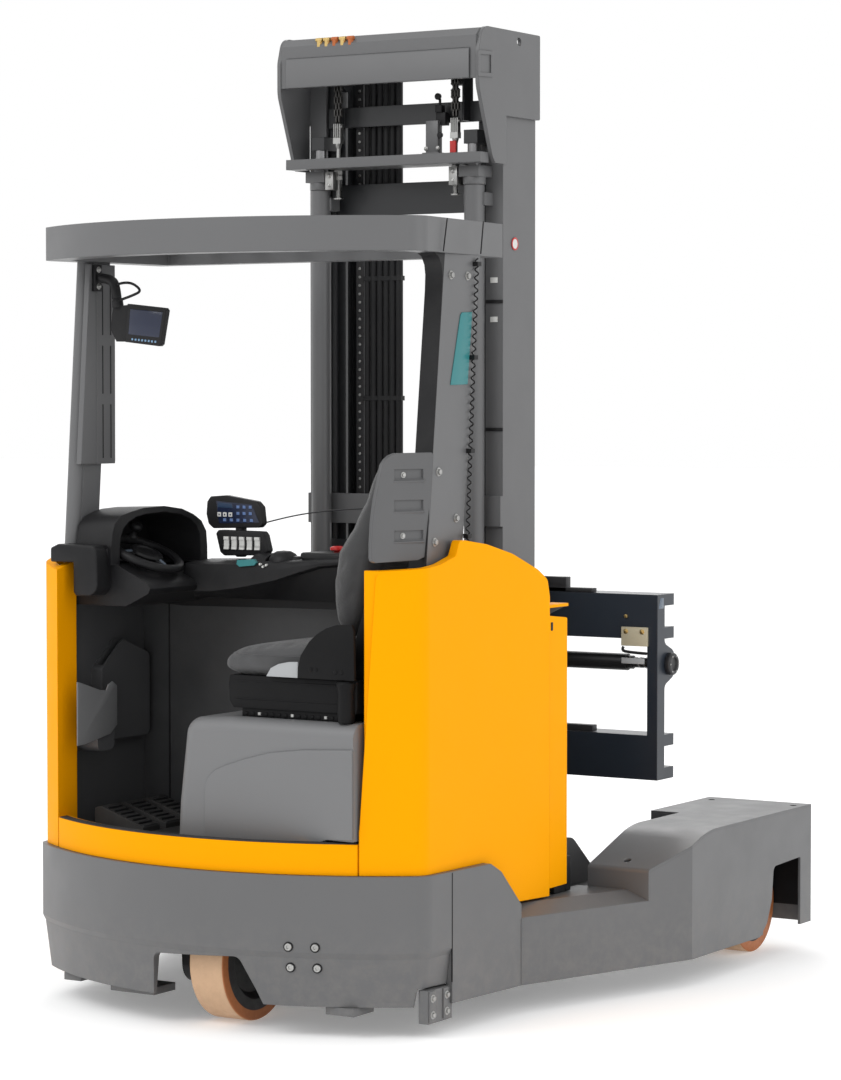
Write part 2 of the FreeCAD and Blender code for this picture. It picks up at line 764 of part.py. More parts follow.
def make_drive_unit():
    """Motor on the deck, the gearbox that steers under it, and the wheel on its axle."""
    deck = size.deck
    motor = turned("drive_motor", "XZ", [
        (0, deck), (165, deck), (165, deck + 12), (78, deck + 12), (78, 630), (0, 630),
    ])
    middle = -size.drive_offset
    bind(motor, "Placement.Base.y", middle)
    node("drive_motor", motor)
    crown_low = size.drive_radius * 2 + crown_gap
    crown = rod("steer_crown", "z", 150 - size.axle_play, crown_low, deck - 6, y=middle)
    leg = slab("gear_leg", "XZ", [[
        (-62, 92, 56), (62, 92, 56), (76, crown_low + 2), (-76, crown_low + 2),
    ]], middle + size.drive_width / 2 + 6, middle + size.drive_width / 2 + 100)
    axle = rod("drive_axle", "y", 30, middle - size.drive_width / 2 + 8,
               middle + size.drive_width / 2 + 20, z=size.drive_radius)
    node("drive_gearbox", fuse("drive_gearbox", crown, leg, axle))
    half = size.drive_width / 2
    bore = 30 + size.axle_play
    wheel = turned("drive_wheel", "XZ", [
        (bore, -half + 20), (95, -half + 20), (112, -half), (size.drive_radius, -half, 6),
        (size.drive_radius, half, 6), (112, half), (95, half - 20), (bore, half - 20),
    ])
    lay_wheel(wheel, middle, size.drive_radius)
    node("drive_wheel", wheel)


def lay_wheel(wheel, y, z):
    """Turns a wheel made about the vertical so that its axle runs across the truck."""
    wheel.Placement = FreeCAD.Placement(Vector(), FreeCAD.Rotation(Vector(1, 0, 0), 90))
    bind(wheel, "Placement.Base.y", y)
    bind(wheel, "Placement.Base.z", z)


def make_load_wheel():
    """Steered yoke under the swivel plate and the load wheel between its legs."""
    track = -size.load_track
    middle = size.wheelbase
    crown_low = size.load_radius * 2 + 12
    crown = rod("yoke_crown", "z", 92, crown_low, size.swivel_low - size.axle_play,
                x=middle, y=track)
    pin = rod("yoke_pin", "z", size.swivel_pin, size.swivel_low - 2,
              size.swivel_low + size.swivel_plate + 14, x=middle, y=track)
    cap = rod("yoke_cap", "z", size.swivel_pin + 14,
              size.swivel_low + size.swivel_plate + size.axle_play,
              size.swivel_low + size.swivel_plate + 14, x=middle, y=track)
    gap = size.load_width / 2 + 6
    legs = [slab("yoke_leg", "XZ", [[
        (middle - 38, 118, 30), (middle + 38, 118, 30), (middle + 50, crown_low + 3),
        (middle - 50, crown_low + 3),
    ]], low, low + 12) for low in (track - gap - 12, track + gap)]
    axle = rod("load_axle", "y", 16, track - gap - 6, track + gap + 6,
               x=middle, z=size.load_radius)
    twin_nodes("load_yoke", fuse("right_load_yoke", crown, pin, cap, axle, *legs))
    half = size.load_width / 2
    bore = 16 + size.axle_play
    wheel = turned("load_wheel", "XZ", [
        (bore, -half + 4), (60, -half + 4), (66, -half), (size.load_radius, -half, 5),
        (size.load_radius, half, 5), (66, half), (60, half - 4), (bore, half - 4),
    ])
    lay_wheel(wheel, track, size.load_radius)
    twin_nodes("load_wheel", wheel, middle)


# ---------------------------------------------------------------- mast

def channel(name, stage, low, high, side=-1):
    """One C-section of a mast stage, opening towards the truck's middle."""
    inset = stage * (size.mast_flange + size.stage_gap)
    outside = size.mast_half_width - stage * size.stage_step
    back = size.mast_back + inset
    front = size.mast_back + size.mast_depth - inset
    inside = outside - size.mast_flange_width
    web = outside - size.mast_web
    flange = size.mast_flange
    return slab(name, "XY", [[
        (back, side * outside), (front, side * outside), (front, side * inside),
        (front - flange, side * inside), (front - flange, side * web),
        (back + flange, side * web), (back + flange, side * inside), (back, side * inside),
    ]], low, high)


def make_outer_mast():
    """The fixed stage: two channels, their foot plate and cross members at the back."""
    half = size.mast_half_width
    top = size.mast_high - 60
    pieces = [channel("outer_channel", 0, size.mast_low, top, side) for side in (-1, 1)]
    pieces.append(box("mast_foot", (size.mast_back, size.mast_back + size.mast_depth),
                      (-half, half), (size.mast_low, size.mast_low + 16)))
    for low, high in ((size.mast_low, size.mast_low + 200), (1330, 1420)):
        pieces.append(box("outer_tie", (size.mast_back - 14, size.mast_back), (-half, half),
                          (low, high)))
    node("outer_mast", fuse("outer_mast", *pieces))


def make_mast_top_frame():
    """Head frame of the fixed stage, with a crane eye in each side plate."""
    half = size.mast_half_width
    top = size.mast_high
    back = size.mast_back - 160
    front = size.mast_back + size.mast_depth + 7
    plate = new_body("frame_side")
    add_pad(plate, "XZ", [[
        (front, top, 6), (back + 22, top, 40), (back, top - 75, 60), (back, top - 170, 90),
        (back + 78, top - 372, 40), (back + 95, top - 391, 6), (size.mast_back - 2, top - 391),
        (size.mast_back - 2, top - 250), (front, top - 250, 6),
    ]], -half - 12, -half)
    add_pocket(plate, "XZ", [Ring(front - 125, top - 29, 12.5)], -half - 13, -half + 1)
    other = mirrored("frame_side_left", plate)
    beam = slab("frame_beam", "XZ", [[
        (back + 3, top - 151), (back + 17, top - 151), (back + 17, top - 34),
        (back + 34, top - 18), (back + 86, top - 18), (back + 86, top - 5),
        (back + 28, top - 5), (back + 3, top - 28),
    ]], -half, half)
    bar = box("frame_bar", (back + 28, back + 76), (-half, half), (top - 391, top - 361))
    shelf = box("anchor_shelf", (back + 70, back + 142),
                (-size.chain_track - 27, size.chain_track + 27), (top - 391, top - 361))
    node("mast_top_frame", fuse("mast_top_frame", plate, other, beam, bar, shelf))


def make_lift_cylinders():
    """Two barrels behind the mast, each in a foot and a saddle on the channel's flange."""
    low = size.mast_low + 30
    pieces = []
    for side in (-1, 1):
        y = side * size.cylinder_track
        barrel = rod("barrel", "z", size.cylinder_radius, low, size.cylinder_high,
                     x=size.cylinder_back, y=y)
        foot = box("cylinder_foot", (size.cylinder_back - 30, size.mast_back),
                   (y - 32, y + 32), (size.mast_low, low))
        saddle = box("cylinder_saddle", (size.cylinder_back, size.mast_back),
                     (y - 36, y + 36), (size.cylinder_high - 60, size.cylinder_high - 22))
        bore = rod("barrel_bore", "z", size.rod_radius + size.rod_play, low + 60,
                   size.cylinder_high + 1, x=size.cylinder_back, y=y)
        pieces.append(cut("lift_cylinder", fuse("barrel_and_saddle", barrel, foot, saddle), bore))
    tie_gap = box("tie_room", (size.mast_back - 14, size.mast_back), (-400, 400),
                  (size.mast_low, size.mast_low + 200))
    node("lift_cylinders", cut("lift_cylinders", fuse("both_cylinders", *pieces), tie_gap))


def stage_pads(stage, low):
    """Slide pads between a stage's web and the web outside it."""
    outside = size.mast_half_width - stage * size.stage_step
    gap = size.stage_step - size.mast_web - size.reach_room
    middle = size.mast_back + size.mast_depth / 2
    pads = []
    for side in (-1, 1):
        near, far = side * outside, side * (outside + gap)
        span = (near, far) if side > 0 else (far, near)
        pads.append(box("slide_pad", (middle - 28, middle + 28), span, (low, low + 110)))
    return pads


def make_middle_mast():
    """First moving stage, with the head that the piston rods push."""
    low = size.mast_low + 22
    inset = size.mast_flange + size.stage_gap
    back = size.mast_back + inset
    pieces = [channel("middle_channel", 1, low, size.mast_high - 65, side) for side in (-1, 1)]
    inner_edge = size.mast_half_width - size.mast_flange_width - 5
    for bottom, top in ((low, low + 150), (1180, 1280), (2520, 2580)):
        pieces.append(box("middle_tie", (back - 13, back + 1), (-inner_edge, inner_edge),
                          (bottom, top)))
    head_low = size.cylinder_high + 120
    wide = size.cylinder_track + 22
    narrow = size.cylinder_track + 2
    keep = size.cylinder_track - 24
    neck = size.mast_back - 6
    sheave = size.chain_back + 6.3 + size.sheave_radius
    sheave_high = size.mast_high - 131
    for side in (-1, 1):
        pieces.append(slab("push_lug", "XY", [[
            (size.cylinder_back - 20, side * wide), (neck, side * wide), (neck, side * narrow),
            (back + 4, side * narrow), (back + 4, side * keep),
            (size.cylinder_back - 20, side * keep),
        ]], head_low, head_low + 40))
        cheek = (side * (size.chain_track + 13), side * (size.chain_track + 19))
        tread = (side * (size.chain_track - 14), side * (size.chain_track + 14))
        pieces.append(box("sheave_cheek", (sheave - 16, back + 2),
                          cheek if side > 0 else cheek[::-1],
                          (size.mast_high - 260, sheave_high + 25)))
        pieces.append(rod("sheave", "y", size.sheave_radius, *(tread if side > 0 else tread[::-1]),
                          x=sheave, z=sheave_high))
    pieces += stage_pads(1, low + 10)
    node("middle_mast", fuse("middle_mast", *pieces))
    rods = [rod("piston_rod", "z", size.rod_radius, size.mast_low + 100, head_low,
                x=size.cylinder_back, y=side * size.cylinder_track) for side in (-1, 1)]
    node("piston_rods", group("piston_rods", *rods))


def make_inner_mast():
    """Second moving stage, which the carriage climbs."""
    low = size.mast_low + 30
    inset = 2 * (size.mast_flange + size.stage_gap)
    back = size.mast_back + inset
    pieces = [channel("inner_channel", 2, low, size.mast_high - 75, side) for side in (-1, 1)]
    inner_edge = size.mast_half_width - size.stage_step - size.mast_flange_width - 5
    for bottom, top in ((low, low + 150), (1050, 1130), (2255, 2350)):
        pieces.append(box("inner_tie", (back - 13, back + 1), (-inner_edge, inner_edge),
                          (bottom, top)))
    pieces += stage_pads(2, low + 10)
    node("inner_mast", fuse("inner_mast", *pieces))


def make_lift_carriage():
    """Roller plates in the inner mast and the bars that carry the fork frame."""
    inset = 2 * (size.mast_flange + size.stage_gap)
    middle = size.mast_back + size.mast_depth / 2
    web = size.mast_half_width - 2 * size.stage_step - size.mast_web
    radius = size.mast_depth / 2 - inset - size.mast_flange - size.reach_room
    low = size.lower_rail_low + 21
    high = size.upper_rail_high - 18
    front = size.frame_back - size.reach_room
    pieces = []
    for side in (-1, 1):
        near, far = side * (web - 68), side * (web - 53)
        span = (near, far) if side > 0 else (far, near)
        pieces.append(slab("carriage_plate", "XZ", [[
            (middle - 40, low), (front, low), (front, high), (middle - 40, high),
        ]], *span))
        for height in (low + 60, high - 60):
            near, far = side * (web - 54), side * (web - 3)
            span = (near, far) if side > 0 else (far, near)
            pieces.append(rod("carriage_roller", "y", radius, *span, x=middle, z=height))
    for bottom, top in ((low, low + 100), (high - 100, high)):
        pieces.append(box("carriage_bar", (front - 20, front), (-330, 330), (bottom, top)))
    node("lift_carriage", fuse("lift_carriage", *pieces))


def make_reach_carriage():
    """Cradle of the mast, on four rollers in the reach rails."""
    web = size.arm_inner - size.rail_web
    roller = size.rail_height / 2 - size.rail_web - size.reach_room
    height = size.rail_low + size.rail_height / 2
    plate_out = size.arm_inner - size.rail_width - 15
    plate_in = plate_out - 15
    back = size.rail_back + 28
    front = size.mast_back + size.mast_depth + 150
    half = size.mast_half_width
    pieces = []
    for side in (-1, 1):
        span = (side * plate_in, side * plate_out)
        span = span if side > 0 else span[::-1]
        pieces.append(slab("cradle_plate", "XZ", [[
            (back, 120), (front - 30, 120, 25), (front, 180, 40), (front - 10, 285, 60),
            (size.mast_back + size.mast_depth, 400, 60), (back, 430),
        ]], *span))
        wing = (side * half, side * plate_in)
        wing = wing if side > 0 else wing[::-1]
        pieces.append(box("mast_wing", (size.mast_back - 14, size.mast_back + size.mast_depth),
                          wing, (126, 330)))
        for x in (back + 58, front - 70):
            tread = (side * (web - 58), side * (web - 4))
            tread = tread if side > 0 else tread[::-1]
            pin = (side * plate_in, side * (web - 50))
            pin = pin if side > 0 else pin[::-1]
            pieces.append(rod("reach_roller", "y", roller, *tread, x=x, z=height))
            pieces.append(rod("roller_pin", "y", 18, *pin, x=x, z=height))
    pieces.append(box("cradle_back", (back, back + 18), (-plate_out, plate_out), (120, 430)))
    node("reach_carriage", fuse("reach_carriage", *pieces))


def make_lift_chains():
    """Leaf chains over the head frame's bar, with their threaded anchors under it."""
    pieces = []
    x = size.chain_back
    bar_low = size.mast_high - 391
    bar_high = size.mast_high - 361
    for side in (-1, 1):
        y = side * size.chain_track
        pieces.append(box("chain_strand", (x - 6, x + 6), (y - 14, y + 14),
                          (bar_high + 0.3, size.mast_high - 133)))
        pieces.append(rod("chain_anchor", "z", 8, bar_low - 90, bar_low - 0.3, x=x, y=y))
    node("lift_chains", group("lift_chains", *pieces))


# ---------------------------------------------------------------- load end

def rail_profile(low):
    """C-section of a fork frame rail, open to the front."""
    back = size.frame_back
    front = back + size.hook_depth + 53
    high = low + size.frame_rail
    lip = size.rail_lip
    return [
        (back, low), (front, low), (front, low + lip), (back + 20, low + lip),
        (back + 20, high - lip), (front, high - lip), (front, high), (back, high),
    ]


def make_fork_frame():
    """Wide frame that the forks slide along: two C-rails, end plates and centre posts."""
    half = size.frame_half_width
    upper = size.upper_rail_high - size.frame_rail
    rails = [slab("frame_rail", "XZ", [rail_profile(low)], -half, half)
             for low in (size.lower_rail_low, upper)]
    back = size.frame_back
    between = (size.lower_rail_low + size.frame_rail - 1, upper + 1)
    pieces = []
    for side in (-1, 1):
        end = (side * (half - size.end_plate), side * half)
        end = end if side > 0 else end[::-1]
        shaft = size.shaft_height
        pieces.append(slab("frame_end", "XZ", [[
            (back, size.lower_rail_low + 30, 30), (back + 24, size.lower_rail_low + 6),
            (back + 46, size.lower_rail_low + 6), (back + 46, shaft - 62, 20),
            (back + 110, shaft - 36, 30), (back + 110, shaft + 36, 30),
            (back + 46, shaft + 62, 20), (back + 46, size.upper_rail_high - 6),
            (back + 16, size.upper_rail_high - 6), (back, size.upper_rail_high - 50),
        ]], *end))
        post = (side * 250, side * 280)
        post = post if side > 0 else post[::-1]
        pieces.append(box("frame_post", (back, back + 20), post, between))
    frame = fuse("fork_frame_solid", *rails, *pieces)
    seat = rod("shaft_seat", "y", size.shaft_radius + 0.2, -half + 9, half - 9,
               x=back + 70, z=size.shaft_height)
    node("fork_frame", cut("fork_frame", frame, seat))
    shaft = rod("shaft", "y", size.shaft_radius, -half + 10, half - 10,
                x=back + 70, z=size.shaft_height)
    node("positioner_shaft", group("positioner_shaft", shaft))


def make_fork():
    """Right fork: tapered blade, rounded heel, shank and the shoes that run in the rails."""
    width = size.fork_width / 2
    y = -size.fork_spread
    heel = size.fork_low + size.fork_thickness
    face = fork_face + size.fork_thickness
    top = size.upper_rail_high + 6
    body = slab("right_fork_blade", "XZ", [[
        (fork_face, size.fork_low, 40), (fork_end - 160, size.fork_low),
        (fork_end, heel - size.fork_tip), (fork_end, heel),
        (face, heel, 25), (face, top, 10), (fork_face, top, 10),
    ]], y - width, y + width)
    dress(body, "Fillet", 35, along("Z", (fork_end, y - width), (fork_end, y + width)))
    shoes = []
    lip = size.rail_lip + size.reach_room
    upper = size.upper_rail_high - size.frame_rail
    for low in (size.lower_rail_low, upper):
        shoes.append(box("fork_shoe", (size.frame_back + 26, fork_face + 2),
                         (y - width + 8, y + width - 8),
                         (low + lip, low + size.frame_rail - lip)))
    twin_nodes("fork", fuse("right_fork", body, *shoes))


# ---------------------------------------------------------------- body panels

def panel_shell(name, side, doorway, fold, tops, bottoms):
    """Body panel: round the rear corner and along the side, trimmed to a side outline."""
    front = size.panel_outer
    back = size.panel_rear
    wall = size.panel_wall
    inset = 14
    plan = new_body(f"{name}_plan")
    add_pad(plan, "XY", [[
        (size.panel_front, side * front), (rear(back, inset), side * back),
        Bow(size.rear_curve - inset, -side), (rear(doorway, inset), side * doorway),
        (rear(doorway, inset + wall) + fold, side * doorway),
        (rear(doorway, inset + wall) + fold, side * (doorway + wall)),
        (rear(doorway + wall, inset + wall), side * (doorway + wall)),
        Bow(size.rear_curve - inset - wall, side),
        (rear(back - wall, inset + wall), side * (back - wall)),
        (size.panel_front, side * (front - wall)),
    ]], 200, 1400)
    dress(plan, "Fillet", 50, along("Z", (rear(back, inset), side * back)))
    dress(plan, "Fillet", 50 - wall,
          along("Z", (rear(back - wall, inset + wall), side * (back - wall))))
    trim = slab(f"{name}_side", "XZ", [tops + bottoms], -front - 1, front + 1)
    return common(name, plan, trim)


def door_edge(name, side, doorway, lean, top):
    """What the leaning, round-cornered edge of a doorway takes off a body panel."""
    return slab(name, "YZ", [[
        (side * (doorway - 10), 560), (side * (doorway + 1), 560),
        (side * (doorway + lean), top, 28), (side * (doorway + lean + 50), top + 16),
        (side * (doorway + lean + 50), top + 80), (side * (doorway - 10), top + 80),
    ]], -260, -60)


def make_body_panels():
    """Right panel with its humped top, left panel lower under the dashboard."""
    low = size.bumper_high + 0.3
    far = -size.rear_overhang - 20
    bottoms = [
        (size.panel_front, size.arm_crown + 5), (465, size.arm_crown + 11, 30),
        (350, size.bumper_high - 23, 20), (300, low), (far, low),
    ]
    right = panel_shell("right_body_panel", -1, size.post_right, 12, [
        (far, 1238), (-30, 1252, 150), (84, 1264, 150), (158, 1284, 12), (177, 1325, 12),
        (200, 1325, 8), (312, 1310, 200), (443, 1279, 200), (577, 1229, 120),
        (628, 1199, 25), (size.panel_front, 1150),
    ], bottoms)
    node("right_body_panel", cut("right_panel_trimmed", right,
                                 door_edge("right_door_edge", -1, size.post_right, 39, 1246)))
    left = panel_shell("left_body_panel", 1, size.post_left, 60, [
        (far, 1216), (-60, 1222, 30), (60, 1256, 40), (470, 1230, 120), (615, 1180, 60),
        (size.panel_front, 1130),
    ], bottoms)
    node("left_body_panel", cut("left_panel_trimmed", left,
                                door_edge("left_door_edge", 1, size.post_left, 22, 1217)))


def make_battery_panel():
    """Panel over the end of the battery bay, with its folded front and sloped top."""
    out = size.panel_outer - 7
    wall = 14
    front = size.bay_front
    back = size.panel_front + 0.3
    fold = size.panel_wall + 7.7 - size.panel_rear
    plan = slab("battery_panel_plan", "XY", [[
        (back, -out), (front, -out), (front, fold), (front - wall, fold),
        (front - wall, -out + wall), (back, -out + wall),
    ]], 280, 1200)
    dress(plan, "Fillet", 12, along("Z", (front, -out)))
    trim = slab("battery_panel_side", "XZ", [[
        (back, 322), (front, 324), (front, 1084, 20), (back, 1096),
    ]], -out - 1, -out + 80)
    twin_nodes("battery_panel", common("right_battery_panel", plan, trim))


def make_entry_sill():
    """Curved sill under the doorway, with the rubber tread strip's ledge."""
    inset = 14
    wall = 42
    low = size.bumper_high + 0.3
    right, left = -size.post_right + 4, size.post_left - 4
    body = slab("entry_sill", "XY", [[
        (rear(right, inset), right), Bow(size.rear_curve - inset, 1),
        (rear(left, inset), left), (rear(left, inset + wall), left),
        Bow(size.rear_curve - inset - wall, -1), (rear(right, inset + wall), right),
    ]], low, size.floor_high + 42)
    node("entry_sill", body)


# ---------------------------------------------------------------- cab

def make_cab_floor():
    """Floor plate with its mat, over the deck."""
    edge = size.panel_rear - size.panel_wall - 6
    low = size.deck + 0.3
    front = size.front_wall - 0.3
    right, left = -size.post_right + 6, size.post_left - 6
    right_back = rear(edge, 38) + 30
    left_back = rear(size.post_left, 38) + 66
    body = slab("cab_floor", "XY", [[
        (front, -edge), (right_back, -edge), (right_back, right), (rear(right, 62), right),
        Bow(size.rear_curve - 62, 1), (rear(left, 62), left), (left_back, left),
        (left_back, edge), (front, edge),
    ]], low, size.floor_high)
    middle = -size.drive_offset
    add_pocket(body, "XY", [Ring(0, middle, 84)], low - 1, size.floor_high + 1)
    add_pocket(body, "XY", [Ring(0, middle, 171)], low - 1, size.deck + 18)
    node("cab_floor", body)


def make_front_wall():
    """Wall between the cab and the battery bay."""
    wall = 15
    edge = size.panel_rear - size.panel_wall - 4
    body = slab("cab_front_wall", "YZ", [[
        (-edge, size.floor_high - 20), (edge, size.floor_high - 20), (edge, 1190, 20),
        (-edge, 1190, 20),
    ]], size.front_wall, size.front_wall + wall)
    node("cab_front_wall", body)


def make_left_lining():
    """Inner side wall with the document holder and a pocket."""
    out = size.panel_rear - size.panel_wall - 4
    inner = out - 30
    wall = slab("lining_wall", "XZ", [[
        (50, size.floor_high), (size.front_wall - 0.3, size.floor_high),
        (size.front_wall - 0.3, 1120), (50, 1120),
    ]], inner, out)
    holder = slab("document_holder", "XZ", [[
        (150, 720, 20), (380, 720, 20), (380, 960, 20), (250, 1010, 20), (150, 930, 20),
    ]], inner - 38, inner + 1)
    add_pocket(holder, "XY", [[
        (162, inner - 32), (368, inner - 32), (368, inner - 6), (162, inner - 6),
    ]], 740, 1011)
    tray = slab("door_pocket", "XZ", [[
        (60, 700, 20), (140, 700, 20), (140, 850, 8), (60, 850, 8),
    ]], inner - 90, inner + 1)
    add_pocket(tray, "XY", [[
        (66, inner - 84), (134, inner - 84), (134, inner - 6), (66, inner - 6),
    ]], 712, 851)
    node("left_lining", fuse("left_lining", wall, holder, tray))


def make_dashboard():
    """Hooded dashboard over the left side, with the well that the steering wheel sits in."""
    out = size.panel_rear - size.panel_wall - 4
    body = new_body("dashboard")
    add_pad(body, "YZ", [[
        (out, 1120.3), (out, size.post_foot), (out - 53, size.post_foot),
        (out - 55, 1300, 50), (out - 100, 1392, 50), (out - 230, 1402, 40),
        (out - 262, 1340, 20), (out - 275, 1120.3, 20),
    ]], 36, size.front_wall - 0.3)
    add_pocket(body, "YZ", [[
        (out - 75, 1200, 20), (out - 78, 1300, 40), (out - 130, 1362, 40),
        (out - 230, 1372, 20), (out - 400, 1372), (out - 400, 1200),
    ]], 56, size.front_wall - 70)
    node("dashboard", body)


def make_steering_wheel():
    """Small steering wheel with a spinner knob on its own short column."""
    centre = (175, 400, 1262)
    lean = FreeCAD.Rotation(Vector(1, 0, 0), 24)
    ring = doc.addObject("Part::Torus", "wheel_rim")
    ring.Radius1 = 100
    ring.Radius2 = 13
    hub = rod("wheel_hub", "z", 34, -18, 12)
    spokes = box("wheel_spoke", (-96, 96), (-14, 14), (-10, 2))
    knob_stem = rod("knob_stem", "z", 8, 0, 30, x=0, y=-100)
    knob = doc.addObject("Part::Sphere", "knob")
    knob.Radius = 18
    knob.Placement.Base = Vector(0, -100, 34)
    wheel = fuse("steering_wheel", ring, hub, spokes, knob_stem, knob)
    wheel.Placement = FreeCAD.Placement(Vector(*centre), lean)
    post = group("column_post", rod("wheel_column", "z", 20, -90, -18.4))
    post.Placement = FreeCAD.Placement(Vector(*centre), lean)
    column = common("steering_column", post, box("over_well", (100, 250), (340, 500),
                                                 (1200.3, 1300)))
    node("steering_wheel", wheel, centre[0])
    node("steering_column", column)


def make_control_console():
    """Console and armrest at the driver's right hand, on the cab's front wall."""
    back = size.front_wall
    body = slab("console", "XZ", [[
        (back - 150, 1130, 20), (back - 0.3, 1130), (back - 0.3, 1250, 20),
        (back - 120, 1238, 20),
    ]], -260, size.panel_rear - size.panel_wall - 280)
    dress(body, "Fillet", 12, along("Y"))
    rest = slab("armrest_pad", "XZ", [[
        (back - 135, 1236), (back - 20, 1250), (back - 22, 1276, 14), (back - 133, 1262, 14),
    ]], -255, -20)
    grip = slab("pilot_grip", "XZ", [[
        (back - 120, 1236), (back - 40, 1246), (back - 40, 1290, 18), (back - 120, 1282, 22),
    ]], 10, 110)
    node("control_console", fuse("control_console", body, rest, grip))


def make_display():
    """Display with keys and the switch panel under it, tilted towards the driver."""
    back = size.front_wall
    panel = slab("display_face", "YZ", [[
        (136, 1333, 16), (329, 1333, 16), (318, 1426, 16), (148, 1428, 16),
    ]], back - 40, back - 14)
    switches = slab("switch_face", "YZ", [[
        (112, 1254, 10), (280, 1254, 10), (276, 1324, 14), (116, 1324, 14),
    ]], back - 60, back - 32)
    stem = box("display_stem", (back - 34, back - 16), (190, 250), (1248.3, 1345))
    node("display", fuse("display", panel, switches, stem))


def make_seat():
    """Moulded seat base, suspension, cushion and backrest, the driver facing left."""
    base = new_body("seat_base")
    high = 842
    add_pad(base, "YZ", [[
        (104, size.floor_high), (98, 600, 80), (70, high - 8, 50), (-70, high, 30),
        (-545, high), (-545, size.floor_high),
    ]], -105, size.front_wall - 0.3)
    dress(base, "Fillet", 40, along("Y", (-105, high)))
    add_pocket(base, "XY", [[
        (-106, -484), (-45, -484), (-18, -546), (-106, -546),
    ]], size.floor_high - 1, high + 1)
    sill = 62
    add_pocket(base, "XY", [[
        (-140, -546), (rear(546, sill), -546), Bow(size.rear_curve - sill, 1),
        (rear(300, sill), -300), (-140, -300),
    ]], size.floor_high - 1, size.floor_high + 50)
    add_pocket(base, "XY", [[
        (-84, -400), (size.front_wall - 20, -400), (size.front_wall - 20, 82), (-84, 82),
    ]], size.floor_high - 1, 640)
    node("seat_base", base)
    middle = size.seat_middle
    tray = box("suspension_tray", (middle - 190, middle + 190), (-430, -72), (842, 856))
    bellows = slab("suspension_bellows", "XZ", [[
        (middle - 175, 856), (middle + 175, 856), (middle + 165, 885), (middle + 178, 915),
        (middle - 178, 915), (middle - 165, 885),
    ]], -420, -84)
    pan = slab("seat_pan", "XZ", [[
        (middle - 200, 915, 10), (middle + 200, 915, 10),
        (middle + 205, size.cushion_low - 0.3, 8), (middle - 205, size.cushion_low - 0.3, 8),
    ]], -470, -48)
    back_frame = slab("back_frame", "YZ", [[
        (-470, 925), (-430, 925), (-430, 1060), (-486, 1240, 12), (-515, 1240, 12),
        (-480, 1060),
    ]], middle - 150, middle + 150)
    node("seat_suspension", fuse("seat_suspension", tray, bellows, pan, back_frame))
    cushion = slab("seat_cushion", "XZ", [[
        (middle - 205, size.cushion_low), (middle + 205, size.cushion_low),
        (middle + 215, size.cushion_high - 10, 35), (middle + 170, size.cushion_high, 30),
        (middle - 170, size.cushion_high, 30), (middle - 215, size.cushion_high - 10, 35),
    ]], -425, -22)
    node("seat_cushion", cushion)
    rest = slab("seat_backrest", "YZ", [[
        (-428, size.cushion_high + 2, 20), (-345, size.cushion_high + 2, 30),
        (-360, 1200, 60), (-430, 1560, 30), (-490, 1560, 30), (-504.5, 1301),
        (-431.4, size.cushion_high + 14),
    ]], middle - 165, middle + 165)
    node("seat_backrest", rest)


def make_side_shield():
    """Louvred shield behind the backrest, on the right panel's top."""
    body = slab("side_shield", "XZ", [[
        (-70, 1262, 20), (150, 1300), (180, 1400, 30), (160, 1560, 30), (10, 1540, 50),
        (-50, 1420, 60),
    ]], -530, -518)
    for height in (1340, 1410, 1480):
        add_pocket(body, "XZ", [[
            (-20, height, 6), (75, height, 6), (75, height + 14, 6), (-20, height + 14, 6),
        ]], -531, -517)
    spacers = [rod("shield_spacer", "y", 9, -size.pillar_inner + 0.3, -525, x=x, z=z)
               for x, z in ((91, 1300), (113, 1480))]
    node("side_shield", fuse("side_shield", body, *spacers))


def make_pedals():
    """Three pedals on the floor."""
    pedals = []
    for x in (60, 170, 280):
        pedals.append(slab("pedal", "YZ", [[
            (330, size.floor_high), (500, size.floor_high), (500, size.floor_high + 60, 8),
            (480, size.floor_high + 66, 8), (330, size.floor_high + 14, 4),
        ]], x, x + 80))
    node("pedals", group("pedals", *pedals))


def make_overhead_guard():
    """Roof with a deep rim, its top crossed by bars with open slots between them."""
    inset = 14
    half = size.guard_half_width
    front = size.guard_front
    narrow = half - 47
    low, high = size.guard_low, size.guard_high
    body = new_body("overhead_guard")
    add_pad(body, "XY", [[
        (front, -narrow), (rear(half, inset), -half), Bow(size.rear_curve - inset, 1),
        (rear(half, inset), half), (front, narrow),
    ]], low, high)
    dress(body, "Fillet", 60,
          along("Z", (rear(half, inset), -half), (rear(half, inset), half)))
    rim = 70
    add_pocket(body, "XY", [[
        (front - 60, -narrow + rim), (rear(half - rim, inset + rim), -half + rim),
        Bow(size.rear_curve - inset - rim, 1), (rear(half - rim, inset + rim), half - rim),
        (front - 60, narrow - rim),
    ]], low - 1, high - 26)
    bars = 7
    pitch = (2 * narrow - 2 * rim - 20) / bars
    for i in range(bars):
        y = -narrow + rim + 20 + pitch * i
        add_pocket(body, "XY", [[
            (-60, y, 14), (front - 90, y, 14), (front - 90, y + pitch - 34, 14),
            (-60, y + pitch - 34, 14),
        ]], high - 27, high + 1)
    node("overhead_guard", body)


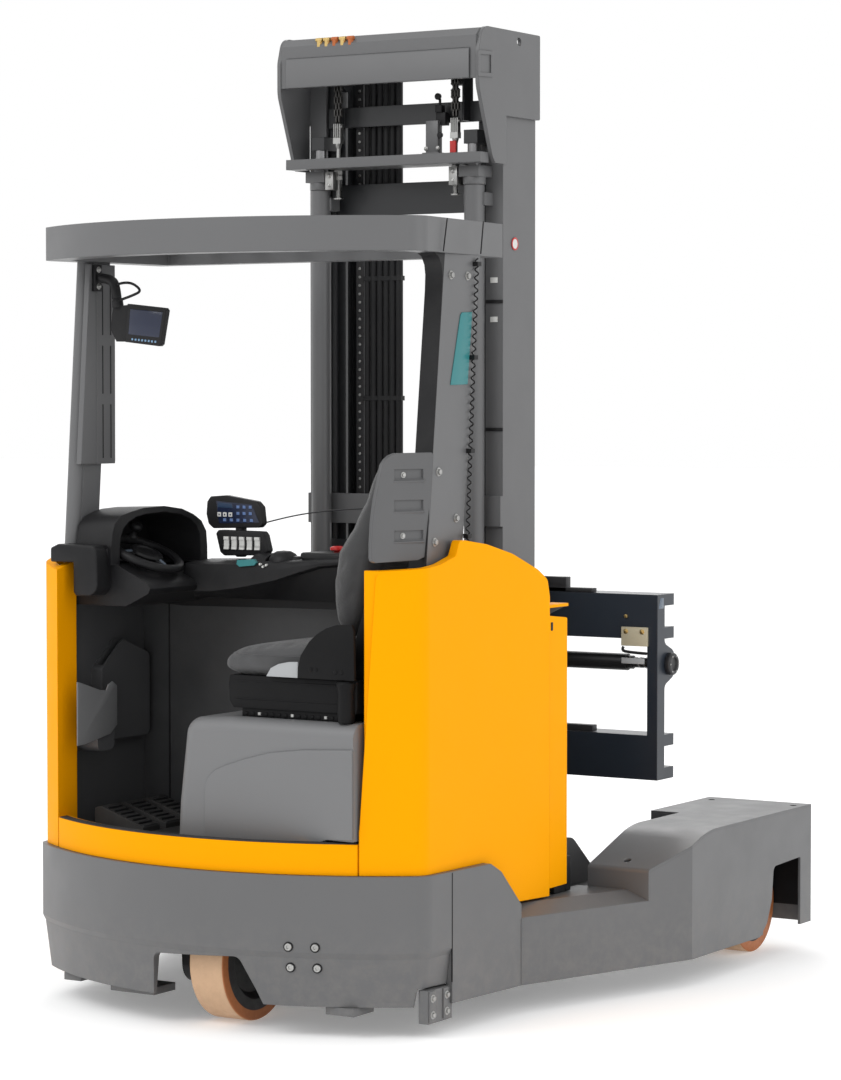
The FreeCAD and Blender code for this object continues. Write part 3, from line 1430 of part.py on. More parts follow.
def make_pillars():
    """Wide right pillar, and on the left a slim tube with a wide post before it."""
    bend = 1240
    high = size.guard_low
    inner = -size.pillar_inner
    right = slab("right_pillar", "XZ", [[
        (68, size.floor_high), (250, size.floor_high), (250, bend),
        (size.guard_front - 155, high), (165, high), (68, bend),
    ]], inner - 54, inner)
    add_pocket(right, "XZ", [[
        (100, bend), (226, bend), (size.guard_front - 185, high - 40, 20),
        (200, high - 40, 20),
    ]], inner - 42, inner + 1)
    node("right_pillar", right)
    low = size.post_foot + 0.3
    slim = new_body("slim_post")
    foot = draw(slim, "XY", [Ring(88, 584, 24)], low)
    head = draw(slim, "XY", [Ring(150, 584, 20)], high)
    loft = slim.newObject("PartDesign::AdditiveLoft", "slim_post_loft")
    loft.Profile = foot
    loft.Sections = [head]
    wide = slab("wide_post", "XZ", [[
        (135, low), (240, low), (size.guard_front - 205, high), (190, high),
    ]], 560, 604)
    node("left_pillars", group("left_pillars", slim, wide))


def make_accessory_rail():
    """Slotted rail on the left post, for things a driver clamps on."""
    body = slab("accessory_rail", "XZ", [[
        (150, 1512, 6), (245, 1512, 6), (245, size.guard_low - 7), (150, size.guard_low - 7),
    ]], 541.7, 559.7)
    node("accessory_rail", body)


def make_monitor():
    """Camera monitor on a jointed arm under the guard."""
    case = slab("monitor_case", "YZ", [[
        (282, 1856, 14), (438, 1848, 14), (444, 1976, 14), (278, 1962, 14),
    ]], 100, 128)
    neck = rod("monitor_neck", "z", 9, 1960, 2050, x=118, y=420)
    elbow = rod("monitor_elbow", "y", 9, 420, 498, x=118, z=2050)
    arm = rod("monitor_arm", "z", 11, 2040, size.guard_high - 26, x=118, y=498)
    node("monitor", fuse("monitor", case, neck, elbow, arm))


# ---------------------------------------------------------------- the truck

make_rear_bumper()
make_chassis_frame()
make_arm()
make_battery()
make_drive_unit()
make_load_wheel()
make_outer_mast()
make_mast_top_frame()
make_lift_cylinders()
make_middle_mast()
make_inner_mast()
make_lift_carriage()
make_reach_carriage()
make_lift_chains()
make_fork_frame()
make_fork()
make_body_panels()
make_battery_panel()
make_entry_sill()
make_cab_floor()
make_front_wall()
make_left_lining()
make_dashboard()
make_steering_wheel()
make_control_console()
make_display()
make_seat()
make_side_shield()
make_pedals()
make_overhead_guard()
make_pillars()
make_accessory_rail()
make_monitor()

for name, thing in nodes.items():
    bind(thing, "Placement.Base.x", places[name] - mid_length)
doc.recompute()
for name, source in mirror_nodes.items():
    node(name, mirrored(name, source))
doc.recompute()

for thing in doc.Objects:
    if "Invalid" in thing.State or "Error" in thing.State:
        raise RuntimeError(f"{thing.Label} failed: {thing.State}")
os.makedirs("parts", exist_ok=True)
for name, thing in nodes.items():
    shape = thing.Shape
    if shape.isNull() or not shape.isValid():
        raise RuntimeError(f"{name} has no valid shape")
    shape.exportStep(f"parts/{name}.step")
print(f"{len(nodes)} sub-parts, origin {mid_length.number:.1f} mm ahead of the drive axle")
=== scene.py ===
# %% [markdown]
# # A four-way reach truck
# The frame of this truck comes finished from the CAD model: every plate, wheel and mast stage
# already has its true size and place. This lesson gives it its looks. We set up a camera and a
# small studio, mix the finishes, paint the CAD nodes, and then model what a drawing leaves out:
# bolts, chains, cables, keys, tread and the stitched seat.

import math

import bmesh
import bpy
from mathutils import Matrix, Vector


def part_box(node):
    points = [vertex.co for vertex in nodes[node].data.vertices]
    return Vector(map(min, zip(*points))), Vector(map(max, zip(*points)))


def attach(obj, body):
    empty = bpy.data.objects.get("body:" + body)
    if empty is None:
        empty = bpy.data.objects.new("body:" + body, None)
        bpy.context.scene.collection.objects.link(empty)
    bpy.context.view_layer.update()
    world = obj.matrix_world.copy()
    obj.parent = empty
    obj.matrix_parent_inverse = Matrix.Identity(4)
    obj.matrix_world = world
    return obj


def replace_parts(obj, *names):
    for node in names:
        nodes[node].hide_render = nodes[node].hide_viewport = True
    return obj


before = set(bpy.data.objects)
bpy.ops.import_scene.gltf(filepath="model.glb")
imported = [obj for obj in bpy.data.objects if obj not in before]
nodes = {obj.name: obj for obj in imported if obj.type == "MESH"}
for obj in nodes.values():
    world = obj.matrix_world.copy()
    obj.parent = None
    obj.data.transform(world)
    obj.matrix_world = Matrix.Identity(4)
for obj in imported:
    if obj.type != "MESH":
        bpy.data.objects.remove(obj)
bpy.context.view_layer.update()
print("CAD nodes:", len(nodes))

# %% [markdown]
# Distances along a truck are told from its drive axle, so the axle's place gives us `spot`, which
# turns a distance ahead of the axle, a distance to the left and a height into a scene position.

# %% Places on the truck
wheel_low, wheel_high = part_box("drive_wheel")
axle_x = (wheel_low.x + wheel_high.x) / 2


def spot(ahead, left, up):
    """A position given from the drive axle, in metres."""
    return Vector((axle_x + ahead, left, up))


print("drive axle at x =", round(axle_x, 4))

# %% [markdown]
# The camera comes first, because everything after is judged through it. A long lens from the
# right rear corner keeps the uprights parallel, as a catalogue picture does. The camera looks
# along its own -Z, so a quarter turn about X lifts its gaze to the horizon, a little less tips it
# down, and the turn about Z is its heading.

# %% Camera
focal_length = 107.91
heading_degrees = 31.6286 - 90
gaze_degrees = 90 - 2.549
lens = bpy.data.cameras.new("camera")
lens.lens = focal_length
lens.clip_end = 200
camera = bpy.data.objects.new("camera", lens)
bpy.context.scene.collection.objects.link(camera)
camera.location = spot(-7.2871, -5.1169, 1.7138)
camera.rotation_euler = (math.radians(gaze_degrees), 0, math.radians(heading_degrees))
bpy.context.scene.camera = camera
print("camera stands", round(camera.location.length, 2), "m from the origin")

# %% [markdown]
# The studio is a pale floor that runs to the horizon, a pale sky and three soft area lamps. The
# plain Standard view keeps painted colours as strong as they are mixed. The brightest lamp stands
# behind the truck on its left, a second one fills the right flank, and a third, from the front,
# draws a thin edge of light on the mast.

# %% Studio
def blank_material(name):
    """A new material with its node tree and its Principled shader."""
    material = bpy.data.materials.new(name)
    material.use_nodes = True
    return material, material.node_tree, material.node_tree.nodes["Principled BSDF"]


floor_mesh = bpy.data.meshes.new("studio_floor")
floor_shape = bmesh.new()
bmesh.ops.create_grid(floor_shape, x_segments=1, y_segments=1, size=60)
floor_shape.to_mesh(floor_mesh)
floor_shape.free()
studio_floor = bpy.data.objects.new("studio_floor", floor_mesh)
bpy.context.scene.collection.objects.link(studio_floor)
floor_paint, _, floor_shader = blank_material("studio_floor")
floor_shader.inputs["Base Color"].default_value = (0.90, 0.90, 0.90, 1)
floor_shader.inputs["Roughness"].default_value = 0.8
floor_shader.inputs["Emission Color"].default_value = (1, 1, 1, 1)
floor_shader.inputs["Emission Strength"].default_value = 0.22
floor_mesh.materials.append(floor_paint)

sky = bpy.data.worlds.new("studio_sky")
sky.use_nodes = True
sky.node_tree.nodes["Background"].inputs["Color"].default_value = (1, 1, 1, 1)
sky.node_tree.nodes["Background"].inputs["Strength"].default_value = 1.0
bpy.context.scene.world = sky
bpy.context.scene.view_settings.view_transform = "Standard"


def lamp(name, place, target, width, power):
    """A square area lamp at a place, turned towards a target."""
    light = bpy.data.lights.new(name, "AREA")
    light.shape = "SQUARE"
    light.size = width
    light.energy = power
    holder = bpy.data.objects.new(name, light)
    holder.location = place
    holder.rotation_euler = (Vector(target) - Vector(place)).to_track_quat("-Z", "Y").to_euler()
    bpy.context.scene.collection.objects.link(holder)


lamp("key_lamp", (-5.5, 1.5, 5.5), (0, 0, 1.0), 3.0, 110)
lamp("flank_lamp", (-0.5, -6.5, 3.6), (0.2, 0, 1.0), 4.0, 60)
lamp("rim_lamp", (5.5, 3.0, 4.5), (0.3, 0, 1.6), 3.0, 70)
print("lamps ready")

# %% [markdown]
# Every paint and plastic on a truck needs the same few effects, only in different strengths, so
# each effect is a node group with named inputs. The first is a coat of paint: its colour drifts a
# little over a panel, dust dulls it near the floor, the surface has a fine orange peel, and a
# rounded-edge normal softens the sharp corners of the CAD plates.

# %% Group helpers
def blank_group(name, floats, colours):
    """A group with a colour, roughness and normal output and the given inputs."""
    group = bpy.data.node_groups.new(name, "ShaderNodeTree")
    for kind, inputs in (("NodeSocketColor", colours), ("NodeSocketFloat", floats)):
        for label, value in inputs:
            entry = group.interface.new_socket(name=label, in_out="INPUT", socket_type=kind)
            entry.default_value = value
    for label, kind in (("Colour", "NodeSocketColor"), ("Roughness", "NodeSocketFloat"),
                        ("Normal", "NodeSocketVector")):
        group.interface.new_socket(name=label, in_out="OUTPUT", socket_type=kind)
    return group, group.nodes.new("NodeGroupInput"), group.nodes.new("NodeGroupOutput")


def noise(group, scale, detail=2.0, rough=0.5):
    """A noise on the piece's own coordinates."""
    place = group.nodes.new("ShaderNodeTexCoord")
    field = group.nodes.new("ShaderNodeTexNoise")
    field.inputs["Scale"].default_value = scale
    field.inputs["Detail"].default_value = detail
    field.inputs["Roughness"].default_value = rough
    group.links.new(place.outputs["Object"], field.inputs["Vector"])
    return field


def spread(group, source, low, high, to_low, to_high):
    """Stretches a value from one range to another."""
    node = group.nodes.new("ShaderNodeMapRange")
    node.inputs["From Min"].default_value = low
    node.inputs["From Max"].default_value = high
    node.inputs["To Min"].default_value = to_low
    node.inputs["To Max"].default_value = to_high
    group.links.new(source, node.inputs["Value"])
    return node.outputs["Result"]


def feed(group, value, entry):
    """Links a socket to an input, or sets the input to a plain value."""
    if hasattr(value, "is_linked"):
        group.links.new(value, entry)
    else:
        entry.default_value = value


def blend_colour(group, factor, first, second):
    """Mixes two colours; each argument is a socket or a plain value."""
    node = group.nodes.new("ShaderNodeMix")
    node.data_type = "RGBA"
    feed(group, factor, node.inputs[0])
    feed(group, first, node.inputs[6])
    feed(group, second, node.inputs[7])
    return node.outputs[2]


def sums(group, kind, first, second):
    """A plain calculation on two values or sockets."""
    node = group.nodes.new("ShaderNodeMath")
    node.operation = kind
    feed(group, first, node.inputs[0])
    feed(group, second, node.inputs[1])
    return node.outputs[0]


def relief(group, height, strength, distance, base=None):
    """A bump from a height, over an earlier normal if there is one."""
    node = group.nodes.new("ShaderNodeBump")
    node.inputs["Distance"].default_value = distance
    group.links.new(height, node.inputs["Height"])
    feed(group, strength, node.inputs["Strength"])
    if base is not None:
        group.links.new(base, node.inputs["Normal"])
    return node.outputs["Normal"]


def soft_edges(group, radius):
    """Normals that round a hard edge off by this radius."""
    node = group.nodes.new("ShaderNodeBevel")
    node.samples = 4
    node.inputs["Radius"].default_value = radius
    return node.outputs["Normal"]


# %% The coat of paint
paint_group, given, made = blank_group(
    "paint_coat", [("Drift", 0.06), ("Dust", 0.3), ("Gloss", 0.36), ("Peel", 0.12)],
    [("Paint", (0.5, 0.5, 0.5, 1)), ("Dust colour", (0.30, 0.27, 0.24, 1))])
broad = noise(paint_group, 2.2, 3).outputs["Fac"]
drift = sums(paint_group, "MULTIPLY", spread(paint_group, broad, 0.3, 0.7, 0, 1),
             given.outputs["Drift"])
shaded = blend_colour(paint_group, drift, given.outputs["Paint"], (0.02, 0.02, 0.02, 1))
place = paint_group.nodes.new("ShaderNodeTexCoord")
parts = paint_group.nodes.new("ShaderNodeSeparateXYZ")
paint_group.links.new(place.outputs["Object"], parts.inputs["Vector"])
near_floor = spread(paint_group, parts.outputs["Z"], 0.0, 0.34, 1, 0)
specks = spread(paint_group, noise(paint_group, 26, 6, 0.7).outputs["Fac"], 0.42, 0.7, 0, 1)
dust = sums(paint_group, "MULTIPLY", sums(paint_group, "MULTIPLY", near_floor, specks),
            given.outputs["Dust"])
dusty = blend_colour(paint_group, dust, shaded, given.outputs["Dust colour"])
paint_group.links.new(dusty, made.inputs["Colour"])
wipe = spread(paint_group, noise(paint_group, 9, 4).outputs["Fac"], 0.3, 0.7, -0.05, 0.05)
dull = sums(paint_group, "ADD", sums(paint_group, "ADD", given.outputs["Gloss"], wipe),
            sums(paint_group, "MULTIPLY", dust, 0.5))
paint_group.links.new(dull, made.inputs["Roughness"])
peel = noise(paint_group, 420, 2).outputs["Fac"]
paint_group.links.new(
    relief(paint_group, peel, given.outputs["Peel"], 0.0012, soft_edges(paint_group, 0.0035)),
    made.inputs["Normal"])
print("group", paint_group.name)

# %% [markdown]
# Moulded plastic and rubber carry a fine pebbled grain from their tool. A cell pattern gives the
# pebbles, and a slow noise lets hands and boots polish some patches more than others.

# %% The moulded grain
grain_group, given, made = blank_group(
    "moulded_grain", [("Pebble", 0.3), ("Scuff", 0.3), ("Gloss", 0.5)],
    [("Plastic", (0.1, 0.1, 0.1, 1))])
place = grain_group.nodes.new("ShaderNodeTexCoord")
cells = grain_group.nodes.new("ShaderNodeTexVoronoi")
cells.inputs["Scale"].default_value = 520
grain_group.links.new(place.outputs["Object"], cells.inputs["Vector"])
patches = spread(grain_group, noise(grain_group, 7, 5, 0.65).outputs["Fac"], 0.35, 0.75, 0, 1)
scuff = sums(grain_group, "MULTIPLY", patches, given.outputs["Scuff"])
grey = blend_colour(grain_group, sums(grain_group, "MULTIPLY", scuff, 0.25),
                    given.outputs["Plastic"], (0.22, 0.215, 0.21, 1))
grain_group.links.new(grey, made.inputs["Colour"])
grain_group.links.new(sums(grain_group, "ADD", given.outputs["Gloss"],
                           sums(grain_group, "MULTIPLY", scuff, 0.2)), made.inputs["Roughness"])
grain_group.links.new(
    relief(grain_group, cells.outputs["Distance"], given.outputs["Pebble"], 0.0006,
           soft_edges(grain_group, 0.003)), made.inputs["Normal"])
print("group", grain_group.name)

# %% [markdown]
# Bare and chromed steel shows fine lines along the way it was drawn or ground. Stretching a noise
# along one axis makes such lines, and a little grease breaks them up.

# %% The drawn metal
metal_group, given, made = blank_group(
    "drawn_metal", [("Lines", 0.2), ("Grease", 0.3), ("Gloss", 0.3)],
    [("Metal", (0.5, 0.5, 0.5, 1)), ("Grease colour", (0.03, 0.025, 0.02, 1))])
place = metal_group.nodes.new("ShaderNodeTexCoord")
stretch = metal_group.nodes.new("ShaderNodeMapping")
stretch.inputs["Scale"].default_value = (260, 260, 6)
lines = metal_group.nodes.new("ShaderNodeTexNoise")
lines.inputs["Scale"].default_value = 1.0
metal_group.links.new(place.outputs["Object"], stretch.inputs["Vector"])
metal_group.links.new(stretch.outputs["Vector"], lines.inputs["Vector"])
film = sums(metal_group, "MULTIPLY",
            spread(metal_group, noise(metal_group, 14, 5).outputs["Fac"], 0.45, 0.75, 0, 1),
            given.outputs["Grease"])
metal_group.links.new(blend_colour(metal_group, film, given.outputs["Metal"],
                                   given.outputs["Grease colour"]), made.inputs["Colour"])
metal_group.links.new(
    sums(metal_group, "ADD", given.outputs["Gloss"],
         sums(metal_group, "ADD", sums(metal_group, "MULTIPLY", film, 0.25),
              sums(metal_group, "MULTIPLY", lines.outputs["Fac"], 0.12))),
    made.inputs["Roughness"])
metal_group.links.new(
    relief(metal_group, lines.outputs["Fac"], given.outputs["Lines"], 0.0005,
           soft_edges(metal_group, 0.002)), made.inputs["Normal"])
print("group", metal_group.name)

# %% [markdown]
# A material is then one group, its values and a Principled shader. Plain numbers such as how
# metallic it is are set on the shader itself. Colours that occur only on small parts are kept
# together in `tints`.

# %% Mixing a finish
def finish_with(name, group, values, **shader_values):
    """A material whose colour, roughness and normal come from a group."""
    material, tree, shader = blank_material(name)
    effect = tree.nodes.new("ShaderNodeGroup")
    effect.node_tree = group
    for label, value in values.items():
        effect.inputs[label].default_value = value
    tree.links.new(effect.outputs["Colour"], shader.inputs["Base Color"])
    tree.links.new(effect.outputs["Roughness"], shader.inputs["Roughness"])
    tree.links.new(effect.outputs["Normal"], shader.inputs["Normal"])
    for label, value in shader_values.items():
        shader.inputs[label.replace("_", " ").title().replace("Ior", "IOR")].default_value = value
    return material


def shade(red, green, blue):
    """A colour with full alpha."""
    return (red, green, blue, 1)


def painted(name, colour, drift, dust, gloss, peel, **shader_values):
    """A painted finish."""
    return finish_with(name, paint_group, {
        "Paint": shade(*colour), "Drift": drift, "Dust": dust, "Gloss": gloss, "Peel": peel},
        **shader_values)


def moulded(name, colour, pebble, scuff, gloss, **shader_values):
    """A plastic or rubber finish."""
    return finish_with(name, grain_group, {
        "Plastic": shade(*colour), "Pebble": pebble, "Scuff": scuff, "Gloss": gloss},
        **shader_values)


def drawn(name, colour, lines, grease, gloss, metallic=1.0):
    """A bare metal finish."""
    return finish_with(name, metal_group, {
        "Metal": shade(*colour), "Lines": lines, "Grease": grease, "Gloss": gloss},
        metallic=metallic)


# %% Paints
grey_paint = painted("grey_paint", (0.113, 0.114, 0.117), 0.05, 0.25, 0.40, 0.10)
guard_paint = painted("guard_paint", (0.112, 0.113, 0.116), 0.05, 0.2, 0.42, 0.1)
yellow_paint = painted("yellow_paint", (0.900, 0.352, 0.0), 0.02, 0.02, 0.42, 0.06,
                       specular_ior_level=0.03)
# Mast paint is near black as painted shade: the inner stages sit in the shadow inside the outer
# mast. The lift carriage and the reach rails are painted with it too.
shaded_mast_paint = painted("shaded_mast_paint", (0.018, 0.019, 0.021), 0.1, 0.2, 0.38, 0.1)
carriage_paint = painted("carriage_paint", (0.016, 0.022, 0.032), 0.1, 0.2, 0.36, 0.1)
fork_paint = painted("fork_paint", (0.014, 0.014, 0.016), 0.1, 0.3, 0.45, 0.15)
battery_paint = painted("battery_paint", (0.030, 0.032, 0.036), 0.1, 0.2, 0.5, 0.1)
print("paints mixed")

# %% Plastics, rubber and metals
black_plastic = moulded("black_plastic", (0.009, 0.009, 0.010), 0.35, 0.15, 0.42,
                        specular_ior_level=0.22)
seat_black = moulded("seat_black", (0.006, 0.006, 0.0065), 0.35, 0.04, 0.48,
                     specular_ior_level=0.12)
dark_lining = moulded("dark_lining", (0.030, 0.031, 0.033), 0.3, 0.3, 0.5)
side_lining = moulded("side_lining", (0.062, 0.063, 0.066), 0.3, 0.3, 0.5)
seat_box_plastic = moulded("seat_box_plastic", (0.155, 0.157, 0.161), 0.2, 0.15, 0.45)
shield_plastic = moulded("shield_plastic", (0.085, 0.086, 0.089), 0.25, 0.2, 0.45)
floor_rubber = moulded("floor_rubber", (0.012, 0.012, 0.012), 0.6, 0.5, 0.6)
chrome = drawn("chrome", (0.62, 0.62, 0.63), 0.1, 0.2, 0.10)
black_steel = drawn("black_steel", (0.030, 0.030, 0.032), 0.2, 0.3, 0.35, 0.6)
zinc_steel = drawn("zinc_steel", (0.42, 0.42, 0.41), 0.15, 0.25, 0.28)
tints = {
    "brass": drawn("brass", (0.56, 0.40, 0.16), 0.15, 0.2, 0.3),
    "chain_steel": drawn("chain_steel", (0.085, 0.083, 0.080), 0.2, 0.35, 0.34, 0.9),
    "rod_steel": drawn("rod_steel", (0.24, 0.24, 0.245), 0.1, 0.2, 0.22),
    "steel_blue_paint": painted("steel_blue_paint", (0.10, 0.13, 0.17), 0.05, 0.1, 0.3, 0.1),
}
for tint_name, colour, gloss in (
        ("red_plastic", (0.50, 0.012, 0.010), 0.35), ("beige_plastic", (0.46, 0.41, 0.29), 0.45),
        ("white_marking", (0.62, 0.62, 0.60), 0.5), ("teal_plastic", (0.020, 0.180, 0.190), 0.4),
        ("light_grey_plastic", (0.34, 0.35, 0.36), 0.45), ("orange_band", (0.42, 0.10, 0.012), 0.5),
        ("latch_yellow", (0.80, 0.36, 0.004), 0.4), ("light_blue_plastic", (0.17, 0.30, 0.46), 0.4),
        ("screen_glass", (0.008, 0.014, 0.040), 0.12), ("screen_lit", (0.018, 0.040, 0.085), 0.15),
        ("key_blue", (0.10, 0.17, 0.36), 0.3), ("pocket_grey", (0.155, 0.157, 0.160), 0.4)):
    tints[tint_name] = moulded(tint_name, colour, 0.12, 0.12, gloss)
print("plastics and metals mixed")

# %% [markdown]
# A wheel of this kind is an iron hub with a tyre of cast polyurethane bonded on. The tread picks
# up floor dust and turns tan, the side keeps the resin's orange brown, and inside the tyre the hub
# is dark iron. One material does all three: how far a face's own normal leans along the axle says
# side or tread, and the distance from the axle says tyre or hub.

# %% Tyres
def wheel_finish(name, node_name, rim):
    """Cast tyre on an iron hub, for a wheel whose tyre starts at the rim radius."""
    low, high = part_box(node_name)
    material, tree, shader = blank_material(name)
    place = tree.nodes.new("ShaderNodeTexCoord")
    split = tree.nodes.new("ShaderNodeSeparateXYZ")
    tree.links.new(place.outputs["Normal"], split.inputs["Vector"])
    side = sums(tree, "ABSOLUTE", split.outputs["Y"], 0)
    side_mask = spread(tree, side, 0.5, 0.8, 0, 1)
    centre = tree.nodes.new("ShaderNodeMapping")
    centre.inputs["Location"].default_value = (-(low.x + high.x) / 2, 0, -(low.z + high.z) / 2)
    tree.links.new(place.outputs["Object"], centre.inputs["Vector"])
    parts = tree.nodes.new("ShaderNodeSeparateXYZ")
    tree.links.new(centre.outputs["Vector"], parts.inputs["Vector"])
    reach = sums(tree, "SQRT", sums(tree, "ADD", sums(tree, "POWER", parts.outputs["X"], 2),
                                    sums(tree, "POWER", parts.outputs["Z"], 2)), 0)
    hub_mask = spread(tree, reach, rim - 0.001, rim + 0.001, 1, 0)
    grime = spread(tree, noise(tree, 30, 6, 0.7).outputs["Fac"], 0.35, 0.7, 0, 1)
    tread_colour = blend_colour(tree, sums(tree, "MULTIPLY", grime, 0.35),
                                shade(0.56, 0.36, 0.215), shade(0.38, 0.25, 0.16))
    side_colour = blend_colour(tree, sums(tree, "MULTIPLY", grime, 0.4),
                               shade(0.42, 0.13, 0.03), shade(0.22, 0.08, 0.03))
    resin = blend_colour(tree, side_mask, tread_colour, side_colour)
    tree.links.new(blend_colour(tree, hub_mask, resin, shade(0.012, 0.011, 0.011)),
                   shader.inputs["Base Color"])
    tree.links.new(spread(tree, grime, 0, 1, 0.42, 0.66), shader.inputs["Roughness"])
    tree.links.new(relief(tree, grime, 0.25, 0.0012, soft_edges(tree, 0.003)),
                   shader.inputs["Normal"])
    return material


drive_tyre = wheel_finish("drive_tyre", "drive_wheel", 0.143)
load_tyre = wheel_finish("load_tyre", "right_load_wheel", 0.110)
print("tyres mixed")

# %% [markdown]
# The seat is covered in dark woven cloth; on the backrest the same cloth is mixed darker, as
# painted shade. The weave is two wave patterns crossing at right angles on the piece's own
# coordinates, fine enough to read as thread.

# %% Seat cloth
def cloth(name, colour, thread=0.5, scale=260):
    """Woven upholstery, with a sheen along its folds."""
    material, tree, shader = blank_material(name)
    place = tree.nodes.new("ShaderNodeTexCoord")
    waves = []
    for direction in ("X", "Y"):
        wave = tree.nodes.new("ShaderNodeTexWave")
        wave.bands_direction = direction
        wave.inputs["Scale"].default_value = scale
        wave.inputs["Distortion"].default_value = 0.6
        tree.links.new(place.outputs["Object"], wave.inputs["Vector"])
        waves.append(wave.outputs["Fac"])
    weave = sums(tree, "MAXIMUM", waves[0], waves[1])
    worn = spread(tree, noise(tree, 9, 5).outputs["Fac"], 0.35, 0.7, 0, 1)
    lit = blend_colour(tree, sums(tree, "MULTIPLY", weave, thread), colour,
                       shade(colour[0] * 2.2, colour[1] * 2.2, colour[2] * 2.2))
    tree.links.new(blend_colour(tree, sums(tree, "MULTIPLY", worn, 0.06), lit,
                                shade(0.14, 0.14, 0.14)), shader.inputs["Base Color"])
    tree.links.new(spread(tree, worn, 0, 1, 0.75, 0.62), shader.inputs["Roughness"])
    tree.links.new(relief(tree, weave, 0.5, 0.0006), shader.inputs["Normal"])
    shader.inputs["Sheen Weight"].default_value = 0.25
    return material


seat_cloth = cloth("seat_cloth", shade(0.028, 0.0285, 0.030))
# The backrest's cloth is the seat cloth mixed darker, as painted shade.
shaded_back_cloth = cloth("shaded_back_cloth", shade(0.011, 0.0112, 0.012))
print("seat covers mixed")

# %% [markdown]
# The CAD nodes keep their shape and only get new materials. Some of them are hidden later, when a
# look piece with more detail replaces them.

# %% Paint the CAD nodes
finishes = {
    "chassis_frame": grey_paint, "rear_bumper": grey_paint, "battery": battery_paint,
    "drive_motor": black_steel, "drive_gearbox": black_steel, "drive_wheel": drive_tyre,
    "entry_sill": yellow_paint, "cab_floor": floor_rubber, "cab_front_wall": dark_lining,
    "left_lining": side_lining, "dashboard": black_plastic, "steering_wheel": black_plastic,
    "steering_column": black_plastic, "control_console": black_plastic,
    "display": black_plastic, "seat_base": seat_box_plastic, "seat_suspension": black_plastic,
    "seat_cushion": seat_cloth, "seat_backrest": seat_cloth, "side_shield": shield_plastic,
    "pedals": floor_rubber, "overhead_guard": guard_paint, "right_pillar": grey_paint,
    "left_pillars": guard_paint, "accessory_rail": guard_paint, "monitor": black_plastic,
    "reach_carriage": grey_paint, "outer_mast": grey_paint, "mast_top_frame": grey_paint,
    "lift_cylinders": grey_paint, "middle_mast": shaded_mast_paint, "piston_rods": tints["rod_steel"],
    "lift_chains": black_steel, "inner_mast": shaded_mast_paint, "lift_carriage": shaded_mast_paint,
    "fork_frame": carriage_paint, "positioner_shaft": chrome,
}
for side in ("left", "right"):
    finishes.update({
        f"{side}_arm": grey_paint, f"{side}_arm_cover": grey_paint,
        f"{side}_reach_rail": shaded_mast_paint, f"{side}_battery_panel": yellow_paint,
        f"{side}_body_panel": yellow_paint, f"{side}_load_yoke": grey_paint,
        f"{side}_load_wheel": load_tyre, f"{side}_fork": fork_paint,
    })
for name, finish in finishes.items():
    nodes[name].data.materials.clear()
    nodes[name].data.materials.append(finish)
print("painted", len(finishes), "nodes")

# %% [markdown]
# The pieces that follow are built in mesh code. A few small tools keep that short: each adds one
# shape to a bmesh that is being built, so a row of bolts or keys becomes one piece. `settle` then
# closes the work: it makes the normals point outwards, bevels the sharp edges by the amount a
# moulding or a machined part has, marks what should stay sharp and lets the piece ride on a body.


bevel_from = 0.6


def settle(name, shape, finish, body="chassis", bevel=0.0, segments=2, sharp=35):
    """Finishes a bmesh as a piece that rides on a body."""
    bmesh.ops.remove_doubles(shape, verts=shape.verts, dist=1e-6)
    bmesh.ops.recalc_face_normals(shape, faces=shape.faces)
    if bevel:
        corners = [edge for edge in shape.edges
                   if len(edge.link_faces) == 2 and edge.calc_face_angle() > bevel_from]
        bmesh.ops.bevel(shape, geom=corners, offset=bevel, offset_type="OFFSET",
                        affect="EDGES", segments=segments, profile=0.5, material=-1,
                        clamp_overlap=True)
    mesh = bpy.data.meshes.new(name)
    shape.to_mesh(mesh)
    shape.free()
    mesh.shade_smooth()
    mesh.set_sharp_from_angle(angle=math.radians(sharp))
    for material in finish if isinstance(finish, (list, tuple)) else [finish]:
        mesh.materials.append(material)
    piece = bpy.data.objects.new(name, mesh)
    bpy.context.scene.collection.objects.link(piece)
    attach(piece, body)
    return piece


def paint_new(shape, before, index):
    """Gives every face added since `before` a material index."""
    for face in shape.faces:
        if face not in before:
            face.material_index = index


def block(shape, low, high, index=0):
    """Adds a box between two corners."""
    low, high = Vector(low), Vector(high)
    size = high - low
    place = Matrix.Translation((low + high) / 2) @ Matrix.Diagonal((*size, 1))
    made = bmesh.ops.create_cube(shape, size=1, matrix=place)["verts"]
    for face in {face for vert in made for face in vert.link_faces}:
        face.material_index = index


def pin(shape, start, end, radius, sides=16, tip=None, index=0):
    """Adds a closed rod or cone from one point to another."""
    start, end = Vector(start), Vector(end)
    way = end - start
    place = (Matrix.Translation((start + end) / 2)
             @ way.to_track_quat("Z", "Y").to_matrix().to_4x4())
    made = bmesh.ops.create_cone(shape, cap_ends=True, segments=sides, radius1=radius,
                                 radius2=radius if tip is None else tip, depth=way.length,
                                 matrix=place)["verts"]
    for face in {face for vert in made for face in vert.link_faces}:
        face.material_index = index


def sheet_of(shape, outline, push, index=0):
    """Adds a plate: an outline of points pushed along a vector."""
    verts = [shape.verts.new(point) for point in outline]
    face = shape.faces.new(verts)
    face.material_index = index
    pushed = bmesh.ops.extrude_face_region(shape, geom=[face])["geom"]
    fresh = [item for item in pushed if isinstance(item, bmesh.types.BMVert)]
    bmesh.ops.translate(shape, verts=fresh, vec=Vector(push))
    for item in {face for vert in verts + fresh for face in vert.link_faces}:
        item.material_index = index


def cross_plate(shape, ahead, outline, thick, index=0):
    """Adds a plate that lies across the truck, drawn as (left, up), pushed along it."""
    sheet_of(shape, [spot(ahead, left, up) for left, up in outline], (thick, 0, 0), index)


def side_plate(shape, left, outline, thick, index=0):
    """Adds a plate that lies along the truck, drawn as (ahead, up), pushed to the left."""
    sheet_of(shape, [spot(ahead, left, up) for ahead, up in outline], (0, thick, 0), index)


